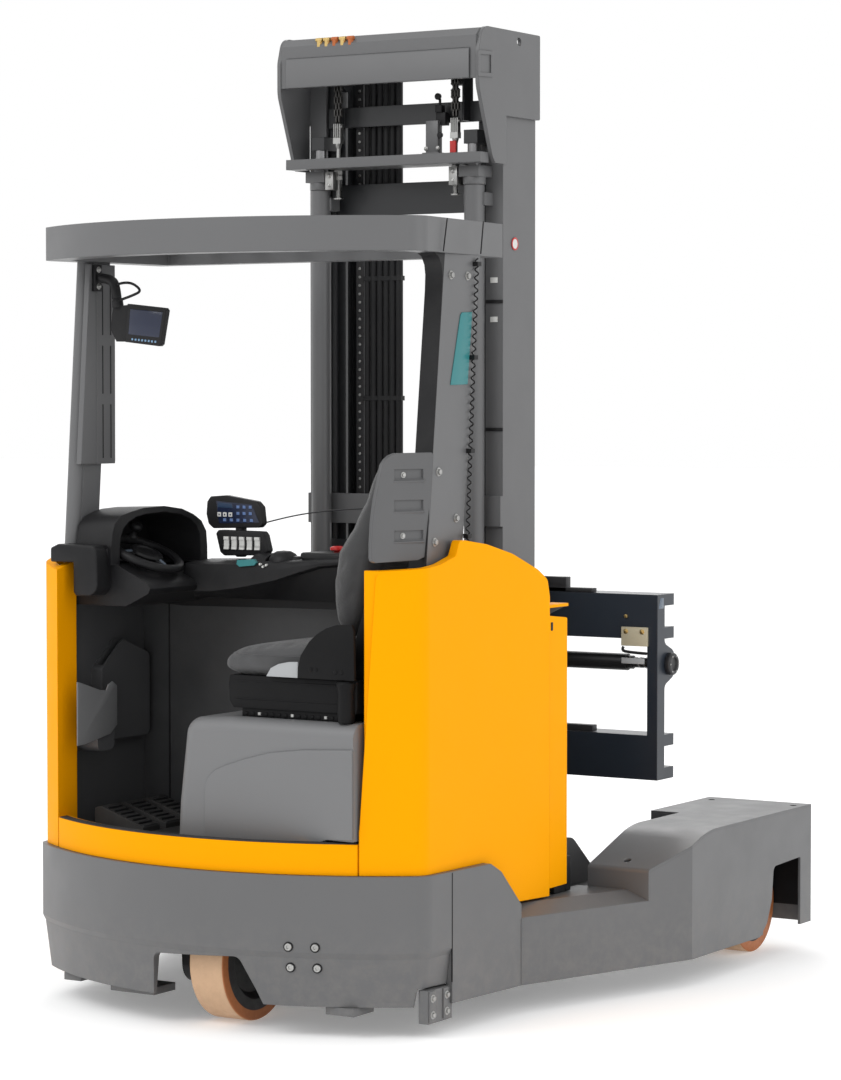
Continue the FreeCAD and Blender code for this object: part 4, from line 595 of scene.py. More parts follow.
def skin(shape, first, second, closed=True):
    """Adds the faces between two rows of points that match one by one."""
    count = len(first) if closed else len(first) - 1
    for i in range(count):
        j = (i + 1) % len(first)
        shape.faces.new((first[i], first[j], second[j], second[i]))


def pierced_plate(shape, loops, push):
    """Adds a plate with holes: the first loop is its outline, the others are the holes."""
    rims = []
    for loop in loops:
        verts = [shape.verts.new(point) for point in loop]
        rims += [shape.edges.new((verts[i - 1], verts[i])) for i in range(len(verts))]
    made = bmesh.ops.triangle_fill(shape, edges=rims, use_beauty=True, use_dissolve=False)["geom"]
    faces = [item for item in made if isinstance(item, bmesh.types.BMFace)]
    raised = bmesh.ops.extrude_face_region(shape, geom=faces)["geom"]
    bmesh.ops.translate(shape, vec=push,
                        verts=[item for item in raised if isinstance(item, bmesh.types.BMVert)])


def bolt(shape, place, way, size=0.008, washer=True, index=0):
    """Adds a hexagon bolt head standing along a direction, on its washer."""
    place, way = Vector(place), Vector(way).normalized()
    start = place
    if washer:
        pin(shape, place, place + way * size * 0.22, size * 1.5, 20, index=index)
        start = place + way * size * 0.22
    pin(shape, start, start + way * size * 0.75, size, 6, index=index)


def lathe(shape, centre, axis, outline, sides=32, index=0):
    """Turns an outline of (radius, distance along the axis) into a closed body."""
    centre, axis = Vector(centre), Vector(axis).normalized()
    side = axis.orthogonal().normalized()
    verts = [shape.verts.new(centre + side * radius + axis * far) for radius, far in outline]
    edges = [shape.edges.new(pair) for pair in zip(verts, verts[1:])]
    before = set(shape.faces)
    bmesh.ops.spin(shape, geom=verts + edges, cent=centre, axis=axis, angle=math.tau,
                   steps=sides, use_merge=True, dvec=(0, 0, 0))
    paint_new(shape, before, index)


def disc(shape, centre, axis, radius, thick, sides, index=0):
    """Adds a flat round disc that stands along an axis."""
    lathe(shape, centre, axis, [(0.0, 0.0), (radius, 0.0), (radius, thick), (0.0, thick)], sides,
          index)


def smooth_line(points, around=8):
    """Points along a smooth line through NURBS control points."""
    curve = bpy.data.curves.new("route", "CURVE")
    curve.dimensions = "3D"
    spline = curve.splines.new("NURBS")
    spline.points.add(len(points) - 1)
    for knot, point in zip(spline.points, points):
        knot.co = (*point, 1)
    spline.order_u = 3
    spline.use_endpoint_u = True
    curve.resolution_u = around
    holder = bpy.data.objects.new("route", curve)
    mesh = bpy.data.meshes.new_from_object(holder)
    line = [vert.co.copy() for vert in mesh.vertices]
    bpy.data.objects.remove(holder)
    bpy.data.curves.remove(curve)
    bpy.data.meshes.remove(mesh)
    return line


def tube(shape, line, radius, sides=10, index=0):
    """Adds a round tube along a line of points, with closed ends."""
    rings = []
    frame_side = None
    for i, point in enumerate(line):
        ahead = (line[min(i + 1, len(line) - 1)] - line[max(i - 1, 0)]).normalized()
        if frame_side is None:
            frame_side = ahead.orthogonal().normalized()
        frame_side = (frame_side - ahead * frame_side.dot(ahead)).normalized()
        place = (Matrix.Translation(point)
                 @ Matrix((frame_side, ahead.cross(frame_side), ahead)).transposed().to_4x4())
        rings.append(bmesh.ops.create_circle(shape, cap_ends=False, segments=sides,
                                             radius=radius, matrix=place)["verts"])
    before = set(shape.faces)
    for first, second in zip(rings, rings[1:]):
        edges = [edge for ring in (first, second) for edge in
                 {edge for vert in ring for edge in vert.link_edges
                  if all(end in ring for end in edge.verts)}]
        bmesh.ops.bridge_loops(shape, edges=edges)
    for ring in (rings[0], rings[-1]):
        shape.faces.new(ring)
    paint_new(shape, before, index)


print("tools ready")

# %% [markdown]
# The bumper is held to the drive unit's guard by four socket screws. Each has a round head with a
# pocket in it, standing in a black rubber ring. A lathe outline gives head and pocket in one
# turn, and the screw follows the bumper's curve, so its direction comes from the plate's own arc.

# %% Screws in the bumper
arc_radius = 1.050
back_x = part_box("rear_bumper")[0].x
arc_centre = back_x + arc_radius


def on_back(left, up, out=0.0, inset=0.0):
    """A point on the bumper's curved back and the direction it faces there."""
    reach = arc_radius - inset
    depth = math.sqrt(reach * reach - left * left)
    facing = Vector((-depth, left, 0)).normalized()
    return Vector((arc_centre - depth, left, up)) + facing * out, facing


screws = bmesh.new()
for left in (-0.322, -0.391):
    for up in (0.247, 0.190):
        place, facing = on_back(left, up, 0.0, 0.0 if up > 0.232 else 0.010)
        lathe(screws, place, facing, [(0.0, -0.002), (0.0135, -0.002), (0.0135, 0.002),
                                      (0.0115, 0.0035), (0.0100, 0.0035)], 20, index=1)
        lathe(screws, place, facing, [
            (0.0, 0.001), (0.0100, 0.001), (0.0100, 0.0055), (0.0088, 0.0070),
            (0.0048, 0.0070), (0.0044, 0.0035), (0.0, 0.0035)], 20, index=0)
settle("bumper_screws", screws, [zinc_steel, black_plastic], "chassis", sharp=30)
print("screws in the bumper: 4")

# %% [markdown]
# Two angle brackets hang in the bumper's lower corner, where the truck is lifted by a jack. Their
# bolts sit in pairs, one above the other. Flat pads under the bumper take the jack's plate.

# %% Jacking points
jack = bmesh.new()
bracket_left = -0.6515
for ahead in (0.026, 0.098):
    block(jack, spot(ahead - 0.016, bracket_left, 0.046),
          spot(ahead + 0.016, bracket_left + 0.004, 0.128))
    for up in (0.064, 0.108):
        bolt(jack, spot(ahead, bracket_left, up), (0, -1, 0), 0.0075, index=1)
for ahead, left, wide in ((-0.125, 0.232, 0.15), (-0.060, 0.490, 0.06), (-0.105, -0.440, 0.09)):
    block(jack, spot(ahead, left - wide / 2, 0.062), spot(ahead + 0.10, left + wide / 2, 0.0835))
settle("jacking_points", jack, [grey_paint, zinc_steel], "chassis", bevel=0.0012, sharp=30)
print("jacking brackets and pads made")

# %% [markdown]
# Where two painted panels meet there is a narrow gap, and its shade reads as a dark line. The joint
# under the yellow panels follows the same curve as the bumper. A thin black strip, turned about the
# curve's centre and left a little inside the panels, is that line as a painted shadow, with real
# depth.

# %% Joint strips, a painted shadow line
joints = bmesh.new()


def curved_strip(shape, left_from, left_to, low, high, inset, thick, steps=40):
    """Adds a strip that follows the curved back between two places."""
    start, facing = on_back(left_from, low, 0, inset)
    end, _ = on_back(left_to, low, 0, inset)
    centre = Vector((arc_centre, 0, low))
    turn = ((end - centre).to_2d().angle_signed((start - centre).to_2d()))
    inner = start - facing * thick
    verts = [shape.verts.new(point) for point in (
        start, inner, inner + Vector((0, 0, high - low)), start + Vector((0, 0, high - low)))]
    face = shape.faces.new(verts)
    bmesh.ops.spin(shape, geom=[face, *face.edges, *verts], cent=centre, axis=(0, 0, 1),
                   angle=turn, steps=steps, use_merge=False, dvec=(0, 0, 0))


joint_end = 0.585
curved_strip(joints, -joint_end, joint_end, 0.4335, 0.4385, 0.0115, 0.004)
settle("bumper_joint_shadow", joints, black_plastic, "chassis", sharp=30)
print("joint strip length:", round(2 * joint_end, 2), "m")

# %% [markdown]
# A black rubber nosing lies along the top of the sill, where a boot lands. Four fine ribs run
# along it.

# %% Nosing on the sill
nosing = bmesh.new()
curved_strip(nosing, -0.482, 0.532, 0.5215, 0.5235, 0.0165, 0.030)
for inset in (0.0180, 0.0250, 0.0320, 0.0390):
    curved_strip(nosing, -0.482, 0.532, 0.5230, 0.5252, inset, 0.0035)
settle("sill_nosing", nosing, floor_rubber, "chassis", sharp=30)
print("nosing laid")

# %% [markdown]
# The arm is welded to the side plate, and the bumper butts against the plate's back edge. A thin
# raised line stands for the weld bead, and a thinner black one for the joint.

# %% Welds on the arms
welds = bmesh.new()
for side in (-1, 1):
    pin(welds, spot(0.4425, side * 0.6845, 0.086), spot(0.4425, side * 0.6845, 0.268), 0.0035, 8)
    pin(welds, spot(0.116, side * 0.6570, 0.14), spot(0.116, side * 0.6570, 0.434), 0.0022, 8,
        index=1)
settle("arm_welds", welds, [grey_paint, black_plastic], "chassis", sharp=40)
print("welds laid on both sides")

# %% [markdown]
# Cables for the load wheel run through the arm under a bent cover. The screws that hold it sit
# deep in its holes. A black cup in each hole is painted shade, so that the holes read as dark dots.

# %% Screw cups in the arm covers, black as painted shade
cups = bmesh.new()
cover_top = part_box("right_arm_cover")[1].z
for side in (-1, 1):
    for left in (0.587, 0.868):
        lathe(cups, spot(1.812, side * left, cover_top), (0, 0, 1), [
            (0.0108, -0.0006), (0.0098, -0.0006), (0.0092, -0.012), (0.0, -0.012),
            (0.0, -0.014), (0.0108, -0.014), (0.0108, -0.0006)], 20)
settle("cover_cups_shade", cups, black_plastic, "chassis", sharp=30)
print("cups: two in each cover")

# %% [markdown]
# The battery is reached through a flap over the side panel's end. Its handle is a thin yellow tab
# with a black latch under it.

# %% Battery latch
tab_up = 1.1165
latch = bmesh.new()
for side in (-1, 1):
    outer = side * 0.6545
    sheet_of(latch, [spot(0.652, outer, tab_up), spot(0.762, outer, tab_up),
                     spot(0.762, side * 0.600, tab_up), spot(0.652, side * 0.600, tab_up)],
             (0, 0, 0.009))
    side_plate(latch, outer * 0.995, ((0.655, 1.0985), (0.748, tab_up), (0.655, tab_up)),
               -side * 0.03, 1)
    side_plate(latch, side * 0.6565, (
        (0.658, 1.052), (0.670, 1.052), (0.670, 1.076), (0.658, 1.076)), -side * 0.004, 1)
settle("battery_latch", latch, [yellow_paint, black_plastic], "chassis", bevel=0.0015)
print("latches made")

# %% [markdown]
# The space under the panel's front corner is dark, because the battery lock's black housing
# fills it.

# %% Battery lock housing
lock = bmesh.new()
for side in (-1, 1):
    block(lock, spot(0.700, side * 0.625 - 0.02, 0.299), spot(0.768, side * 0.625 + 0.02, 0.328))
    block(lock, spot(0.7625, side * 0.62 - 0.028, 0.300), spot(0.790, side * 0.62 + 0.028, 0.400))
    pin(lock, spot(0.776, side * 0.592, 0.36), spot(0.776, side * 0.560, 0.36), 0.016, 20)
settle("battery_lock", lock, black_plastic, "chassis", bevel=0.002)
print("lock housings made")

# %% [markdown]
# Lift chains on a truck are leaf chains: stacks of thin figure-eight plates on pins. Each link is
# one eight-shaped plate, copied across the chain's width and then along its length with every
# second row shifted. A plate has only a few faces, because there are hundreds of them.

# %% One leaf of chain
def leaf(shape, centre, pitch, height, thick):
    """Adds one figure-eight link plate standing in the plane of the chain."""
    ring = [(0.5, 0.0), (0.42, 0.62), (0.0, 1.0), (-0.42, 0.62), (-0.5, 0.0), (-0.42, -0.62),
            (0.0, -1.0), (0.42, -0.62)]
    half = pitch / 2 + height / 2
    points = [centre + Vector((x * height, -thick / 2, z * half)) for x, z in ring]
    sheet_of(shape, points, (0, thick, 0))


def leaf_chain(shape, top, bottom, pitch=0.019, width=0.026, leaves=5):
    """Adds a leaf chain hanging from one point to another below it."""
    links = int((top.z - bottom.z) / pitch)
    for row in range(links):
        middle = top.z - (row + 0.5) * pitch
        for i in range(row % 2, leaves, 2):
            left = -width / 2 + (i + 0.5) * width / leaves
            leaf(shape, Vector((top.x, top.y + left, middle)), pitch, 0.0115,
                 width / leaves * 0.82)
        pin(shape, Vector((top.x, top.y - width / 2 - 0.002, middle + pitch / 2)),
            Vector((top.x, top.y + width / 2 + 0.002, middle + pitch / 2)), 0.0030, 8)


print("chain tools ready")

# %% [markdown]
# The chains end at the head frame's shelf. A clevis grips the last link, its threaded rod goes
# down through the shelf, and under it two nuts and a washer hold the load. The right chain has a
# red slack-chain flag beside its clevis.

# %% Lift chains with their anchors
chain_low, chain_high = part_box("lift_chains")
shelf_low = chain_low.z + 0.090
shelf_top = shelf_low + 0.030
chain_x = axle_x + 0.884
chain_left = 0.205
chains = bmesh.new()


def upright_pin(left, start, end, radius, sides):
    """Adds an upright steel rod on one chain's centre line."""
    pin(chains, Vector((chain_x, left, start)), Vector((chain_x, left, end)), radius, sides,
        index=1)


for side in (-1, 1):
    left = side * chain_left
    foot = Vector((chain_x, left, shelf_top + 0.100))
    leaf_chain(chains, Vector((chain_x, left, chain_high.z - 0.001)), foot)
    for shift in (-0.0105, -0.0035, 0.0035, 0.0105):
        block(chains, foot + Vector((-0.0085, shift - 0.0016, -0.036)),
              foot + Vector((0.0085, shift + 0.0016, 0.008)), index=1)
    block(chains, foot + Vector((-0.0095, -0.0130, -0.052)),
          foot + Vector((0.0095, 0.0130, -0.034)), index=1)
    pin(chains, foot + Vector((0, -0.015, -0.002)), foot + Vector((0, 0.015, -0.002)), 0.0045, 12,
        index=1)
    pin(chains, foot + Vector((0, 0, -0.052)), foot + Vector((0, 0, -0.066)), 0.0105, 16,
        tip=0.0068, index=1)
    upright_pin(left, shelf_top + 0.036, chain_low.z + 0.001, 0.0064, 12)
    for step in range(26):
        up = chain_low.z + 0.004 + step * 0.0030
        upright_pin(left, up, up + 0.0015, 0.0076, 12)
    for up, tall, sides in ((shelf_low - 0.014, 0.0135, 6), (shelf_low - 0.030, 0.0135, 6),
                            (shelf_top + 0.0005, 0.004, 24)):
        upright_pin(left, up, up + tall, 0.0135, sides)
    upright_pin(left, chain_low.z + 0.002, chain_low.z + 0.006, 0.0150, 20)
block(chains, Vector((chain_x - 0.016, -chain_left - 0.010, shelf_top + 0.006)),
      Vector((chain_x - 0.010, -chain_left + 0.010, shelf_top + 0.040)), index=2)
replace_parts(settle("lift_chain_sets", chains,
                   [tints["chain_steel"], zinc_steel, tints["red_plastic"]], "mast_body",
                   sharp=30), "lift_chains")
print("chain links drawn")

# %% [markdown]
# A switch box on the shelf watches the mast's height. It is a small cast box with a roller on its
# arm and a sensor's round face. Blocks stand on the cylinders' tops, and on each block's inner
# side a bright plate with two screws.

# %% Height switch and cylinder heads
switches = bmesh.new()
block(switches, spot(0.888, -0.142, shelf_top + 0.010), spot(0.912, -0.100, shelf_top + 0.104))
block(switches, spot(0.900, -0.160, shelf_top + 0.090), spot(0.924, -0.128, shelf_top + 0.128),
      index=1)
block(switches, spot(0.895, -0.150, shelf_top + 0.128), spot(0.915, -0.128, shelf_top + 0.150),
      index=1)
pin(switches, spot(0.905, -0.139, shelf_top + 0.150), spot(0.905, -0.139, shelf_top + 0.168),
    0.004, 12, index=1)
disc(switches, spot(0.890, -0.139, shelf_top + 0.174), (1, 0, 0), 0.010, 0.008, 20, 1)
disc(switches, spot(0.884, -0.150, shelf_top + 0.060), (1, 0, 0), 0.009, 0.006, 18, 1)
block(switches, spot(0.880, -0.150, shelf_top), spot(0.914, -0.092, shelf_top + 0.010))
for left in (-0.141, -0.101):
    bolt(switches, spot(0.888, left, shelf_top + 0.022), (-1, 0, 0), 0.0045, index=2)
settle("height_switch", switches, [grey_paint, black_plastic, zinc_steel], "mast_body",
       bevel=0.0012)
heads = bmesh.new()
for side in (-1, 1):
    left = side * 0.268
    block(heads, spot(0.852, left - 0.034, 2.353), spot(0.9325, left + 0.034, 2.386))
    block(heads, spot(0.850, left - side * 0.052 - 0.014, 2.330),
          spot(0.900, left - side * 0.052 + 0.014, 2.384), index=1)
    for up in (2.343, 2.371):
        bolt(heads, spot(0.850, left - side * 0.052, up), (-1, 0, 0), 0.0050, index=1)
    pin(heads, spot(0.886, left, 2.331), spot(0.886, left, 2.353), 0.0335, 32)
settle("cylinder_heads", heads, [grey_paint, zinc_steel], "mast_body", bevel=0.0015)
print("switch and heads made")

# %% [markdown]
# Hoses and a cable run down inside the mast, clipped to the inner channel so that they hang
# straight. They are plain tubes between their clips. The strip beside them is the free-lift
# cylinder's chain, seen edge-on: a dark belt with a row of bright pins.

# %% Hoses and the inner chain
runs = bmesh.new()
inner_low, inner_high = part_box("inner_mast")
for step in range(6):
    left = 0.1580 - step * 0.0225
    pin(runs, spot(0.974, left, inner_low.z + 0.20), spot(0.974, left, inner_high.z - 0.02),
        0.0111 if step % 3 else 0.0095, 12)
for up in (0.62, 0.98, 1.34, 1.70, 2.06, 2.42):
    block(runs, spot(0.9640, 0.0340, up), spot(0.9860, 0.1700, up + 0.014))
settle("mast_hoses", runs, black_plastic, "inner_stage", sharp=30)
pin_pitch = 0.0254
belt = bmesh.new()
block(belt, spot(0.9705, 0.171, inner_low.z + 0.18), spot(0.9790, 0.197, inner_high.z - 0.01))
for step in range(int((inner_high.z - inner_low.z - 0.2) / pin_pitch)):
    up = inner_low.z + 0.19 + step * pin_pitch
    disc(belt, spot(0.9705, 0.184, up), (-1, 0, 0), 0.0042, 0.0022, 8, 1)
settle("inner_chain", belt, [black_steel, zinc_steel], "inner_stage", sharp=30)
print("hoses and chain laid")

# %% [markdown]
# On the head beam's back slope sit the brass hose fittings. Along the right channel's flange are
# black straps for a cable, and two blank white markers.

# %% Fittings, straps and markers
fittings = bmesh.new()
fitting_x = 0.784
for left, kind in ((0.095, 1), (0.122, 0), (0.150, 1), (0.178, 0), (0.205, 0)):
    pin(fittings, spot(fitting_x, left, 2.748), spot(fitting_x, left, 2.767), 0.0095, 6,
        index=kind)
    pin(fittings, spot(fitting_x, left - 0.010, 2.769), spot(fitting_x, left + 0.012, 2.769),
        0.0062, 12, index=kind)
    pin(fittings, spot(fitting_x, left, 2.769), spot(0.830, left, 2.769), 0.0050, 10, index=2)
settle("hose_fittings", fittings, [tints["brass"], tints["orange_band"], black_plastic],
       "mast_body", sharp=30)
straps = bmesh.new()
for up in (1.985, 1.610, 1.235):
    block(straps, spot(0.9285, -0.3390, up), spot(0.9335, -0.2790, up + 0.010))
for up in (2.045, 1.930):
    block(straps, spot(0.9300, -0.3200, up), spot(0.9335, -0.2960, up + 0.016), index=1)
settle("cable_straps", straps, [black_plastic, tints["white_marking"]], "mast_body", bevel=0.0008)
print("fittings and straps made")

# %% [markdown]
# The fork frame is welded plate. Bars lie along its rails, the positioner's shaft has a dark
# sleeve between its thinner ends, and a round boss covers each end. A terminal plate with two
# screws joins the cables. Everything here is an outline pushed out or a turned profile.

# %% Fork frame fittings
frame_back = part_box("fork_frame")[0].x
frame_side = 0.7225
shaft_centre = frame_back + 0.075
shaft_up = 0.920
fittings = bmesh.new()
for left, low_z, high_z in ((-0.413, 1.1290, 1.1720), (-0.502, 1.1285, 1.1410)):
    block(fittings, Vector((frame_back + 0.002, left, low_z)),
          Vector((frame_back + 0.030, 0.330, high_z)))
block(fittings, Vector((frame_back + 0.002, -0.504, 0.7125)),
      Vector((frame_back + 0.030, 0.330, 0.7320)))
for side in (-1, 1):
    end = side * frame_side
    lathe(fittings, Vector((shaft_centre, end, shaft_up)), (0, side, 0), [
        (0.0, 0.0), (0.0330, 0.0), (0.0330, 0.0140), (0.0290, 0.0180), (0.0200, 0.0180),
        (0.0190, 0.0120), (0.0, 0.0120)], 36)
    for turn in range(6):
        angle = math.tau * turn / 6
        bolt(fittings, Vector((shaft_centre + math.cos(angle) * 0.0255, end + side * 0.0175,
                               shaft_up + math.sin(angle) * 0.0255)), (0, side, 0), 0.0030,
             washer=False, index=1)
    sheet_of(fittings, [Vector((frame_back + x, end, z)) for x, z in (
        (0.006, 1.086), (0.018, 1.118), (0.040, 1.118), (0.040, 1.086))],
        (0, -side * 0.030, 0), index=2)
settle("fork_frame_fittings", fittings, [fork_paint, zinc_steel, tints["steel_blue_paint"]],
       "frame_body", bevel=0.0012, sharp=32)
shaft_low, shaft_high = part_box("positioner_shaft")
shaft_x, shaft_z = (shaft_low.x + shaft_high.x) / 2, (shaft_low.z + shaft_high.z) / 2
shaft_end = -0.7115
shaft = bmesh.new()
lathe(shaft, Vector((shaft_x, shaft_end, shaft_z)), (0, 1, 0), [
    (0.0, 0.0), (0.0155, 0.0), (0.0155, 0.106), (0.0200, 0.106), (0.0200, 0.124),
    (0.0250, 0.124), (0.0250, 1.299), (0.0200, 1.299), (0.0200, 1.317), (0.0155, 1.317),
    (0.0155, 1.423), (0.0, 1.423)], 36)
for far in (0.02, 0.04, 0.06, 0.08, 1.343, 1.363, 1.383, 1.403):
    lathe(shaft, Vector((shaft_x, shaft_end + far, shaft_z)), (0, 1, 0), [
        (0.0150, 0.0), (0.0172, 0.0), (0.0172, 0.006), (0.0150, 0.006), (0.0150, 0.0)], 24,
        index=1)
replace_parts(settle("positioner_sleeve", shaft, [black_steel, chrome], "frame_body", sharp=34),
            "positioner_shaft")
skin_x = frame_back - 0.0003
cable_x = frame_back - 0.007
terminal = bmesh.new()
block(terminal, Vector((frame_back - 0.010, -0.6920, 0.975)), Vector((skin_x, -0.6060, 1.031)))
for left in (-0.676, -0.622):
    bolt(terminal, Vector((frame_back - 0.010, left, 1.018)), (-1, 0, 0), 0.0052, index=1)
block(terminal, Vector((frame_back - 0.006, -0.6800, 0.922)), Vector((skin_x, -0.6050, 0.9390)),
      index=2)
pin(terminal, Vector((skin_x, -0.618, 1.062)), Vector((frame_back - 0.006, -0.618, 1.062)),
    0.0055, 12, index=1)
tube(terminal, smooth_line([Vector((frame_back - 0.006, -0.612, 0.972)),
                            Vector((cable_x, -0.606, 0.962)), Vector((cable_x, -0.625, 0.956)),
                            Vector((cable_x, -0.690, 0.954))]), 0.0045, 10, index=3)
settle("terminal_plate", terminal, [tints["beige_plastic"], tints["brass"],
                                    tints["light_grey_plastic"], black_plastic],
       "frame_body", bevel=0.0012, sharp=34)
print("fork frame dressed")

# %% [markdown]
# A locking pin with a round knob stands on top of each fork, so that the fork can be fixed where
# it is. The knob is turned from its profile, and it moves with its fork.

# %% Fork pins
for side, body in (("left", "left_fork_body"), ("right", "right_fork_body")):
    low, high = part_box(f"{side}_fork")
    middle = (low.y + high.y) / 2
    foot = Vector((low.x + 0.020, middle, high.z - 0.002))
    lock_pin = bmesh.new()
    pin(lock_pin, foot, foot + Vector((0, 0, 0.014)), 0.012, 20)
    lathe(lock_pin, foot + Vector((0, 0, 0.012)), (0, 0, 1), [
        (0.0, 0.0), (0.006, 0.0), (0.006, 0.012), (0.015, 0.015), (0.015, 0.024),
        (0.010, 0.028), (0.0, 0.028)], 24, index=1)
    settle(f"{side}_fork_pin", lock_pin, [zinc_steel, black_plastic], body, sharp=34)
print("fork pins placed")

# %% [markdown]
# A black plate laid against the inner wall of each wheel housing, inside the arm's tip, is painted
# shade: it makes the opening read as a deep hole.

# %% Painted shade in the wheel housings
lining = bmesh.new()
for low_y, high_y in ((-0.8905, -0.5600), (0.5600, 0.8905)):
    block(lining, spot(1.8640, low_y, 0.130), spot(1.8665, high_y, 0.400))
settle("housing_shade_plates", lining, black_plastic, sharp=30)
print("housings lined")

# %% [markdown]
# The dashboard is one moulding: a hood that opens towards the driver, a shelf for the steering
# wheel and a body under it. The hood could be cut from a block, but a moulded shell is easier to
# shape from its opening. Four loops are drawn, the outer and inner edge of the opening and the
# outer and inner edge at the back, and `skin` adds the faces between one loop and the next.

# %% Dashboard
dash = bmesh.new()
rim = [(0.023, 1.236), (0.024, 1.285), (0.029, 1.325), (0.038, 1.352), (0.064, 1.375),
       (0.105, 1.386), (0.150, 1.395), (0.231, 1.3985), (0.300, 1.389), (0.346, 1.372),
       (0.378, 1.352), (0.397, 1.322), (0.401, 1.280), (0.4015, 1.236)]
mouth = [(0.056, 1.236), (0.056, 1.282), (0.060, 1.315), (0.070, 1.338), (0.090, 1.357),
         (0.120, 1.370), (0.160, 1.378), (0.231, 1.382), (0.292, 1.374), (0.332, 1.359),
         (0.356, 1.340), (0.370, 1.315), (0.373, 1.280), (0.373, 1.236)]


def opening_left(ahead):
    """How far left the hood's edge stands; it slants towards the driver."""
    return 0.415 - 0.17 * ahead


outer_edge = [dash.verts.new(spot(x, opening_left(x), z)) for x, z in rim]
inner_edge = [dash.verts.new(spot(x, opening_left(x) - 0.001, z)) for x, z in mouth]
outer_back = [dash.verts.new(spot(0.050 + (x - 0.023) * 0.935, 0.555, z - 0.006)) for x, z in rim]
inner_back = [dash.verts.new(spot(x, 0.535, z - 0.012)) for x, z in mouth]
for first, second in ((outer_back, outer_edge), (outer_edge, inner_edge),
                      (inner_edge, inner_back)):
    skin(dash, first, second, closed=False)
dash.faces.new(outer_back)
dash.faces.new(inner_back)
deck = [(0.608, 1.1205), (0.608, 1.2340), (0.556, 1.2340), (0.556, 1.2365), (0.400, 1.2365),
        (0.296, 1.1880), (0.285, 1.1720), (0.292, 1.1580), (0.352, 1.1290), (0.372, 1.1205)]
cross_plate(dash, 0.037, deck, 0.367)
dash.faces.new([dash.verts.new(spot(x, y, 1.2368)) for x, y in (
    (0.023, 0.411), (0.401, 0.347), (0.404, 0.555), (0.050, 0.555))])
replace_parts(settle("dashboard_hood", dash, black_plastic, sharp=32), "dashboard")
print("dashboard moulded")

# %% [markdown]
# Where the left pillar stands on the panel, a separate cap closes the gap between pillar, panel
# and dashboard. Its outline is drawn as seen from behind and pushed forward, and a wide bevel
# gives the soft corners of a moulding.

# %% Pillar cap
cap = bmesh.new()
cross_plate(cap, -0.0310, (
    (0.5860, 1.2440), (0.5860, 1.2840), (0.5600, 1.2950), (0.4330, 1.2930), (0.4240, 1.2800),
    (0.4200, 1.1820), (0.4260, 1.1640), (0.4450, 1.1510), (0.4960, 1.1490), (0.5050, 1.1600),
    (0.5050, 1.2440)), 0.080)
settle("pillar_cap", cap, black_plastic, bevel=0.006, segments=3, sharp=30)
print("cap placed")

# %% [markdown]
# The steering wheel is small because it turns through gears. A torus would do for the rim, but a
# real rim is thicker towards the driver, so its oval section is turned about the column instead.
# The hub is a shallow dish, three spokes reach the rim, and a mushroom knob lets one hand spin it.
# The lever for the direction passes under the wheel, so that the knob clears it all the way round.

# %% Steering wheel
wheel_centre = spot(0.175, 0.400, 1.262)
tilt = Matrix.Rotation(math.radians(24), 4, "X")
lean = tilt @ Vector((0, 0, 1))
wheel = bmesh.new()
lathe(wheel, wheel_centre, lean, [
    (0.0875, 0.000), (0.0890, 0.0075), (0.0950, 0.0120), (0.1030, 0.0125), (0.1100, 0.0085),
    (0.1128, 0.0010), (0.1110, -0.0070), (0.1050, -0.0120), (0.0965, -0.0125),
    (0.0900, -0.0080), (0.0875, 0.000)], 56)
lathe(wheel, wheel_centre, lean, [
    (0.0, -0.018), (0.030, -0.018), (0.047, -0.006), (0.050, 0.004), (0.046, 0.010),
    (0.034, 0.0115), (0.030, 0.0075), (0.0, 0.0065)], 40)
for turn in (35, 155, 275):
    spin = Matrix.Translation(wheel_centre) @ tilt @ Matrix.Rotation(math.radians(turn), 4, "Z")
    arm = [spin @ Vector(point) for point in (
        (0.040, -0.020, 0.004), (0.066, -0.012, -0.001), (0.094, -0.017, 0.002),
        (0.094, 0.017, 0.002), (0.066, 0.012, -0.001), (0.040, 0.020, 0.004))]
    sheet_of(wheel, arm, lean * -0.008)
    trim = [spin @ Vector(point) for point in (
        (0.046, -0.005, 0.0062), (0.070, -0.003, 0.0012), (0.070, 0.003, 0.0012),
        (0.046, 0.005, 0.0062))]
    sheet_of(wheel, trim, lean * -0.003, index=1)
knob_place = Matrix.Translation(wheel_centre) @ tilt @ Vector((0.040, 0.0915, 0.010))
lathe(wheel, knob_place, lean, [
    (0.0, 0.0), (0.0170, 0.0), (0.0150, 0.006), (0.0090, 0.010), (0.0085, 0.018),
    (0.0160, 0.024), (0.0195, 0.033), (0.0165, 0.041), (0.0080, 0.045), (0.0, 0.0455)], 28)
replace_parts(settle("steering_wheel_rim", wheel, [black_plastic, tints["steel_blue_paint"]],
                   "steering_wheel_body", sharp=40), "steering_wheel")
lever = bmesh.new()
tube(lever, smooth_line([spot(0.150, 0.432, 1.2440), spot(0.090, 0.432, 1.2460),
                         spot(0.048, 0.431, 1.2500), spot(0.029, 0.429, 1.2640)]), 0.0042, 10)
pin(lever, spot(0.030, 0.429, 1.2600), spot(0.022, 0.427, 1.2820), 0.0062, 12, tip=0.0052,
    index=1)
settle("direction_lever", lever, [black_plastic, black_steel], sharp=40)
print("steering wheel turned")

# %% [markdown]
# The display and the switch panel below it are two cases with soft corners. Each is an outline
# pushed back and bevelled. The screen lies in a shallow frame, the soft keys stand a millimetre
# proud of it, and the five rockers under it are curved like a saddle so a finger finds them.

